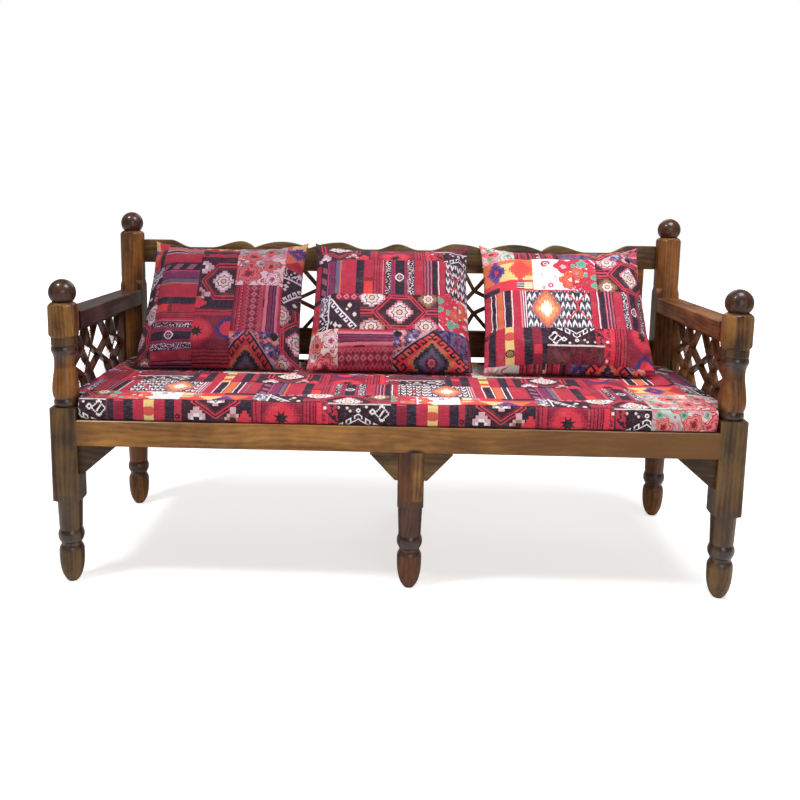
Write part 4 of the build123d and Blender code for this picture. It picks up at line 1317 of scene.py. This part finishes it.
def orange_ikat(graph, s, t):
    flame = graph.noise(graph.vector(s * 5, t * 0.4), 0.09, 2.0, 0.6) * 0.9 - 0.45
    spike = s.centred(9) * 0.03
    x, y = abs(s - 54) / 50, abs(t - 62) / 74
    reach = (x + y) * 0.78 + x.most(y) * 0.2 + flame * 0.6 + spike
    shade = flames(graph, abs(s - 54), t, (SLATE, colour(84, 104, 112), NAVY, SLATE, colour(84, 110, 120)))
    pale = colour(232, 160, 120)
    rings = ((1.06, SLATE), (0.95, ORANGE), (0.74, pale), (0.58, ORANGE), (0.52, YELLOW), (0.42, WHITE))
    for limit, ink in rings:
        shade = graph.mix(reach.below(limit), shade, ink)
    return shade


def wide_stripes(graph, s, t):
    return graph.bands(s, (
        (3, WHITE), (4, WINE), (3, WHITE), (3, MAUVE), (5, PINK), (26, RED), (3, WHITE), (3, RED), (21, NAVY),
        (3, WHITE), (3, RED), (22, ORANGE), (3, RED), (3, WHITE), (14, NAVY), (3, WHITE), (13, RED)))


def lozenge_stripes(graph, s, t):
    shade = graph.bands(s, (
        (32, RED), (4, MAROON), (27, NAVY), (4, ROSE), (24, MAUVE), (4, MAROON), (20, SLATE)))
    slanted = (t + s * 0.8).wrap(44).below(22) * s.between(40, 60)
    stripes = (t + s * 0.8).wrap(5).below(2.4)
    return graph.mix(slanted, shade, graph.mix(stripes, ROSE, SLATE))


def plain_stripes(graph, s, t):
    shade = graph.bands(s, (
        (4, ORANGE), (48, RED), (23, NAVY), (3, WINE), (28, RED), (3, MAROON), (6, RED), (3, MAROON),
        (5, RED), (3, MAROON), (8, RED), (3, PINK), (3, MAROON)))
    shade = graph.mix(s.between(78, 104) * t.below(45), shade, colour(236, 56, 54))
    knot = star(s, t, (86, 54)).least(star(s, t, (98, 54)))
    return graph.mix(knot.between(2, 5), shade, MAROON)


def starred_stripes(graph, s, t):
    shade = graph.bands(s, (
        (3, RED), (17, PLUM), (3, RED), (7, MAUVE), (3, RED), (28, NAVY), (3, RED), (6, MAUVE), (3, ROSE),
        (17, PLUM), (3, MAUVE), (21, RED), (3, WINE), (3, RED)))
    scroll = graph.noise(graph.vector(s, t), 0.06, 1.0, 0.4)
    curl = (scroll * 6).wrap(1).below(0.24) * (s.between(4, 19) + s.between(71, 90))
    shade = graph.mix(curl, shade, WHITE)
    x, y = abs(s - 46), abs(t - 62)
    reach = x.most(y * 0.85).most((x + y) * 0.7)
    shade = graph.mix(reach.between(9, 13), shade, WHITE)
    cross = x.least(y).below(2) * reach.below(7)
    return graph.mix(cross, shade, PINK)


def thin_stripes(graph, s, t):
    return graph.bands(s, (
        (4, RED), (3, BLACK), (4, ROSE), (3, MAUVE), (3, BLACK), (3, PINK), (4, MAUVE), (3, BLACK), (3, PINK),
        (3, WINE), (15, NAVY), (3, RED), (3, WHITE), (3, WINE), (16, RED)))


# ----- top row: hooks, stripes, hexagon and sun

def hooked_motifs(graph, s, t):
    ground = mottle(graph, s, t, 0.05, (PLUM, BLACK, PLUM, colour(78, 36, 52)))
    run = abs(s - 82)
    slope = (t - 18 + run * 0.62) * 0.85
    arms = hooks(run * 0.85 + 3, slope, 19, 15, 3.2) * run.below(60)
    shade = graph.mix(arms, ground, WHITE)
    shade = graph.mix(star(s, t, (82, 44)).between(2, 5), shade, WHITE)
    lozenge = diamond(s, t, (146, 36), 22, 25, 4)
    shade = graph.mix(lozenge.between(0.78, 1.0), shade, WHITE)
    shade = graph.mix(abs(s - 146 - (t - 36) * 0.6).below(3) * abs(t - 36).below(9), shade, WHITE)
    bend = diamond(s, t, (120, 40), 9, 12, 3)
    shade = graph.mix(bend.between(0.5, 1.0), shade, WHITE)
    for middle, size in (((52, 50), 5), ((104, 54), 4), ((60, 42), 4), ((28, 50), 5)):
        shade = graph.mix(diamond(s, t, middle, size, size, 2).below(1.1), shade, CREAM)
    near = graph.noise(graph.vector(s, t), 0.07, 2.0)
    shade = graph.mix((s + near * 50).below(52) * near.above(0.46), shade, RED)
    top = mottle(graph, s, t, 0.05, (BLACK, MAROON, colour(92, 48, 50), WINE, BLACK))
    shade = graph.mix(t.above(65), shade, top)
    return graph.mix(t.between(60, 65), shade, WHITE)


def broad_stripes(graph, s, t):
    shade = graph.bands(s, (
        (15, NAVY), (28, WINE), (26, NAVY), (31, RED), (27, YELLOW), (29, RED), (3, WINE), (24, NAVY),
        (20, RED), (3, BLACK), (4, MAROON)))
    across = s.between(100, 127)
    shade = graph.mix(petals(graph, s, t, (113, 30), 2, 0.3).below(17) * across, shade, colour(214, 84, 74))
    leaf = petals(graph, s, t, (113, 82), 2, 0.4)
    shade = graph.mix(leaf.below(15) * across, shade, colour(86, 62, 44))
    shade = graph.mix(leaf.below(10) * (s + t).wrap(6).below(2), shade, YELLOW)
    shade = graph.mix(s.between(17, 40) * t.between(58, 86), shade, BRIGHT)
    return graph.mix(petals(graph, s, t, (192, 16), 8, -0.4).between(2, 6), shade, BLACK)


def ziggurat(graph, ground, s, t, middle, size, inks):
    """Pale steps that rise to a short top, with a darker heart."""
    reach = abs(s - middle[0]).stepped(8) / size + (t - middle[1]).stepped(9) / (size * 1.3)
    steps = reach.below(1.0) * t.above(middle[1])
    shade = graph.mix(steps, ground, inks[0])
    shade = graph.mix(steps * reach.below(0.55), shade, inks[1])
    return graph.mix(steps * reach.below(0.3), shade, PLUM)


def vee(graph, s, t):
    x = abs(s - 93)
    rise = (t - x * 0.68 - 19).least((58 - x) * 0.8)
    shade = graph.mix(rise.between(-9, -4) + rise.between(1, 6), PLUM, colour(204, 52, 72))
    shade = graph.mix(rise.between(9, 11), shade, WINE)
    shade = medallion(graph, shade, s, t, (93, 80), 30, (BLUSH, WHITE))
    shade = ziggurat(graph, shade, s, t, (40, 8), 31, (BLUSH, WHITE))
    shade = ziggurat(graph, shade, s, t, (140, 8), 29, (BLUSH, TAN))
    shade = graph.mix(s.above(160) * t.above(8), shade, NAVY)
    steps = diamond(s, t, (172, 0), 30, 44, 6, 9)
    return graph.mix(steps.below(1.0), shade, BRIGHT)


def sun(graph, s, t):
    shade = graph.bands(s, (
        (5, MAROON), (6, RED), (3, MAROON), (12, RED), (3, MAROON), (111, WINE)))
    reach = burst(s, t, (82, 16))
    shade = graph.mix(reach.below(56), shade, RED)
    shade = graph.mix(reach.below(46), shade, BRIGHT)
    core = petals(graph, s, t, (82, 16), 8, -0.5).stepped(2)
    shade = graph.mix(core.below(12), shade, BLACK)
    far = burst(s, t, (72, 112))
    shade = graph.mix(far.below(46), shade, BLUE)
    return graph.mix(far.below(32), shade, BRIGHT)


def burst(s, t, middle):
    """Distance from the middle of a round motif whose outline is broken into short steps."""
    x, y = abs(s - middle[0]), abs(t - middle[1])
    spikes = (x.centred(9) + y.centred(9)) * 0.9
    return (x.most(y) * 0.5 + (x + y) * 0.5).stepped(4) + spikes


def lined(graph, s, t):
    shade = graph.bands(s, (
        (3, MAROON), (6, RED), (3, MAROON), (7, RED), (3, BLACK), (6, RED), (3, MAROON), (4, RED), (3, BLACK),
        (15, BRIGHT), (17, WINE)))
    rough = graph.noise(graph.vector(s, t), 0.08, 2.0)
    shade = graph.mix(s.above(52) * rough.above(0.5), shade, BRIGHT)
    return graph.mix(petals(graph, s, t.wrap(56), (62, 48)).below(5), shade, WHITE)


def lay_patches():
    """The whole tile, patch by patch: left edge, foot, width and height in mm."""
    patch("upright stripes", 20, 0, 150, 155, upright_stripes)
    patch("florals", 170, 0, 225, 155, florals)
    patch("bands", 395, 0, 165, 155, banded)
    patch("hooked diamond", 560, 0, 235, 155, hooked_diamond)
    patch("roses on cream", 770, 155, 120, 125, roses_on_cream)
    patch("stepped diamonds", 115, 155, 205, 125, stepped_diamonds)
    patch("curls", 320, 155, 35, 125, curls)
    patch("running hooks", 355, 155, 105, 125, running_hooks)
    patch("hexagon", 460, 155, 235, 125, hexagon)
    patch("rose leaves", 695, 155, 75, 125, rose_leaves)
    patch("zigzag ikat", 720, 280, 80, 130, zigzag_ikat)
    patch("orange ikat", 25, 280, 115, 130, orange_ikat)
    patch("wide stripes", 140, 280, 140, 130, wide_stripes)
    patch("lozenge stripes", 280, 280, 110, 130, lozenge_stripes)
    patch("plain stripes", 390, 280, 140, 130, plain_stripes)
    patch("starred stripes", 530, 280, 115, 130, starred_stripes)
    patch("thin stripes", 645, 280, 75, 130, thin_stripes)
    patch("hooked motifs", 690, 410, 170, 115, hooked_motifs)
    patch("broad stripes", 85, 410, 205, 115, broad_stripes)
    patch("vee", 290, 410, 190, 115, vee)
    patch("sun", 480, 410, 140, 115, sun)
    patch("lined", 620, 410, 70, 115, lined)


# ---------------------------------------------------------------- run

bpy.context.scene.view_settings.view_transform = "Standard"
add_camera()
add_floor()
add_world()
for lamp in LAMPS:
    add_lamp(*lamp)
dress_wood()
dress_screws()
top_rail()
lay_patches()
soft_pieces()
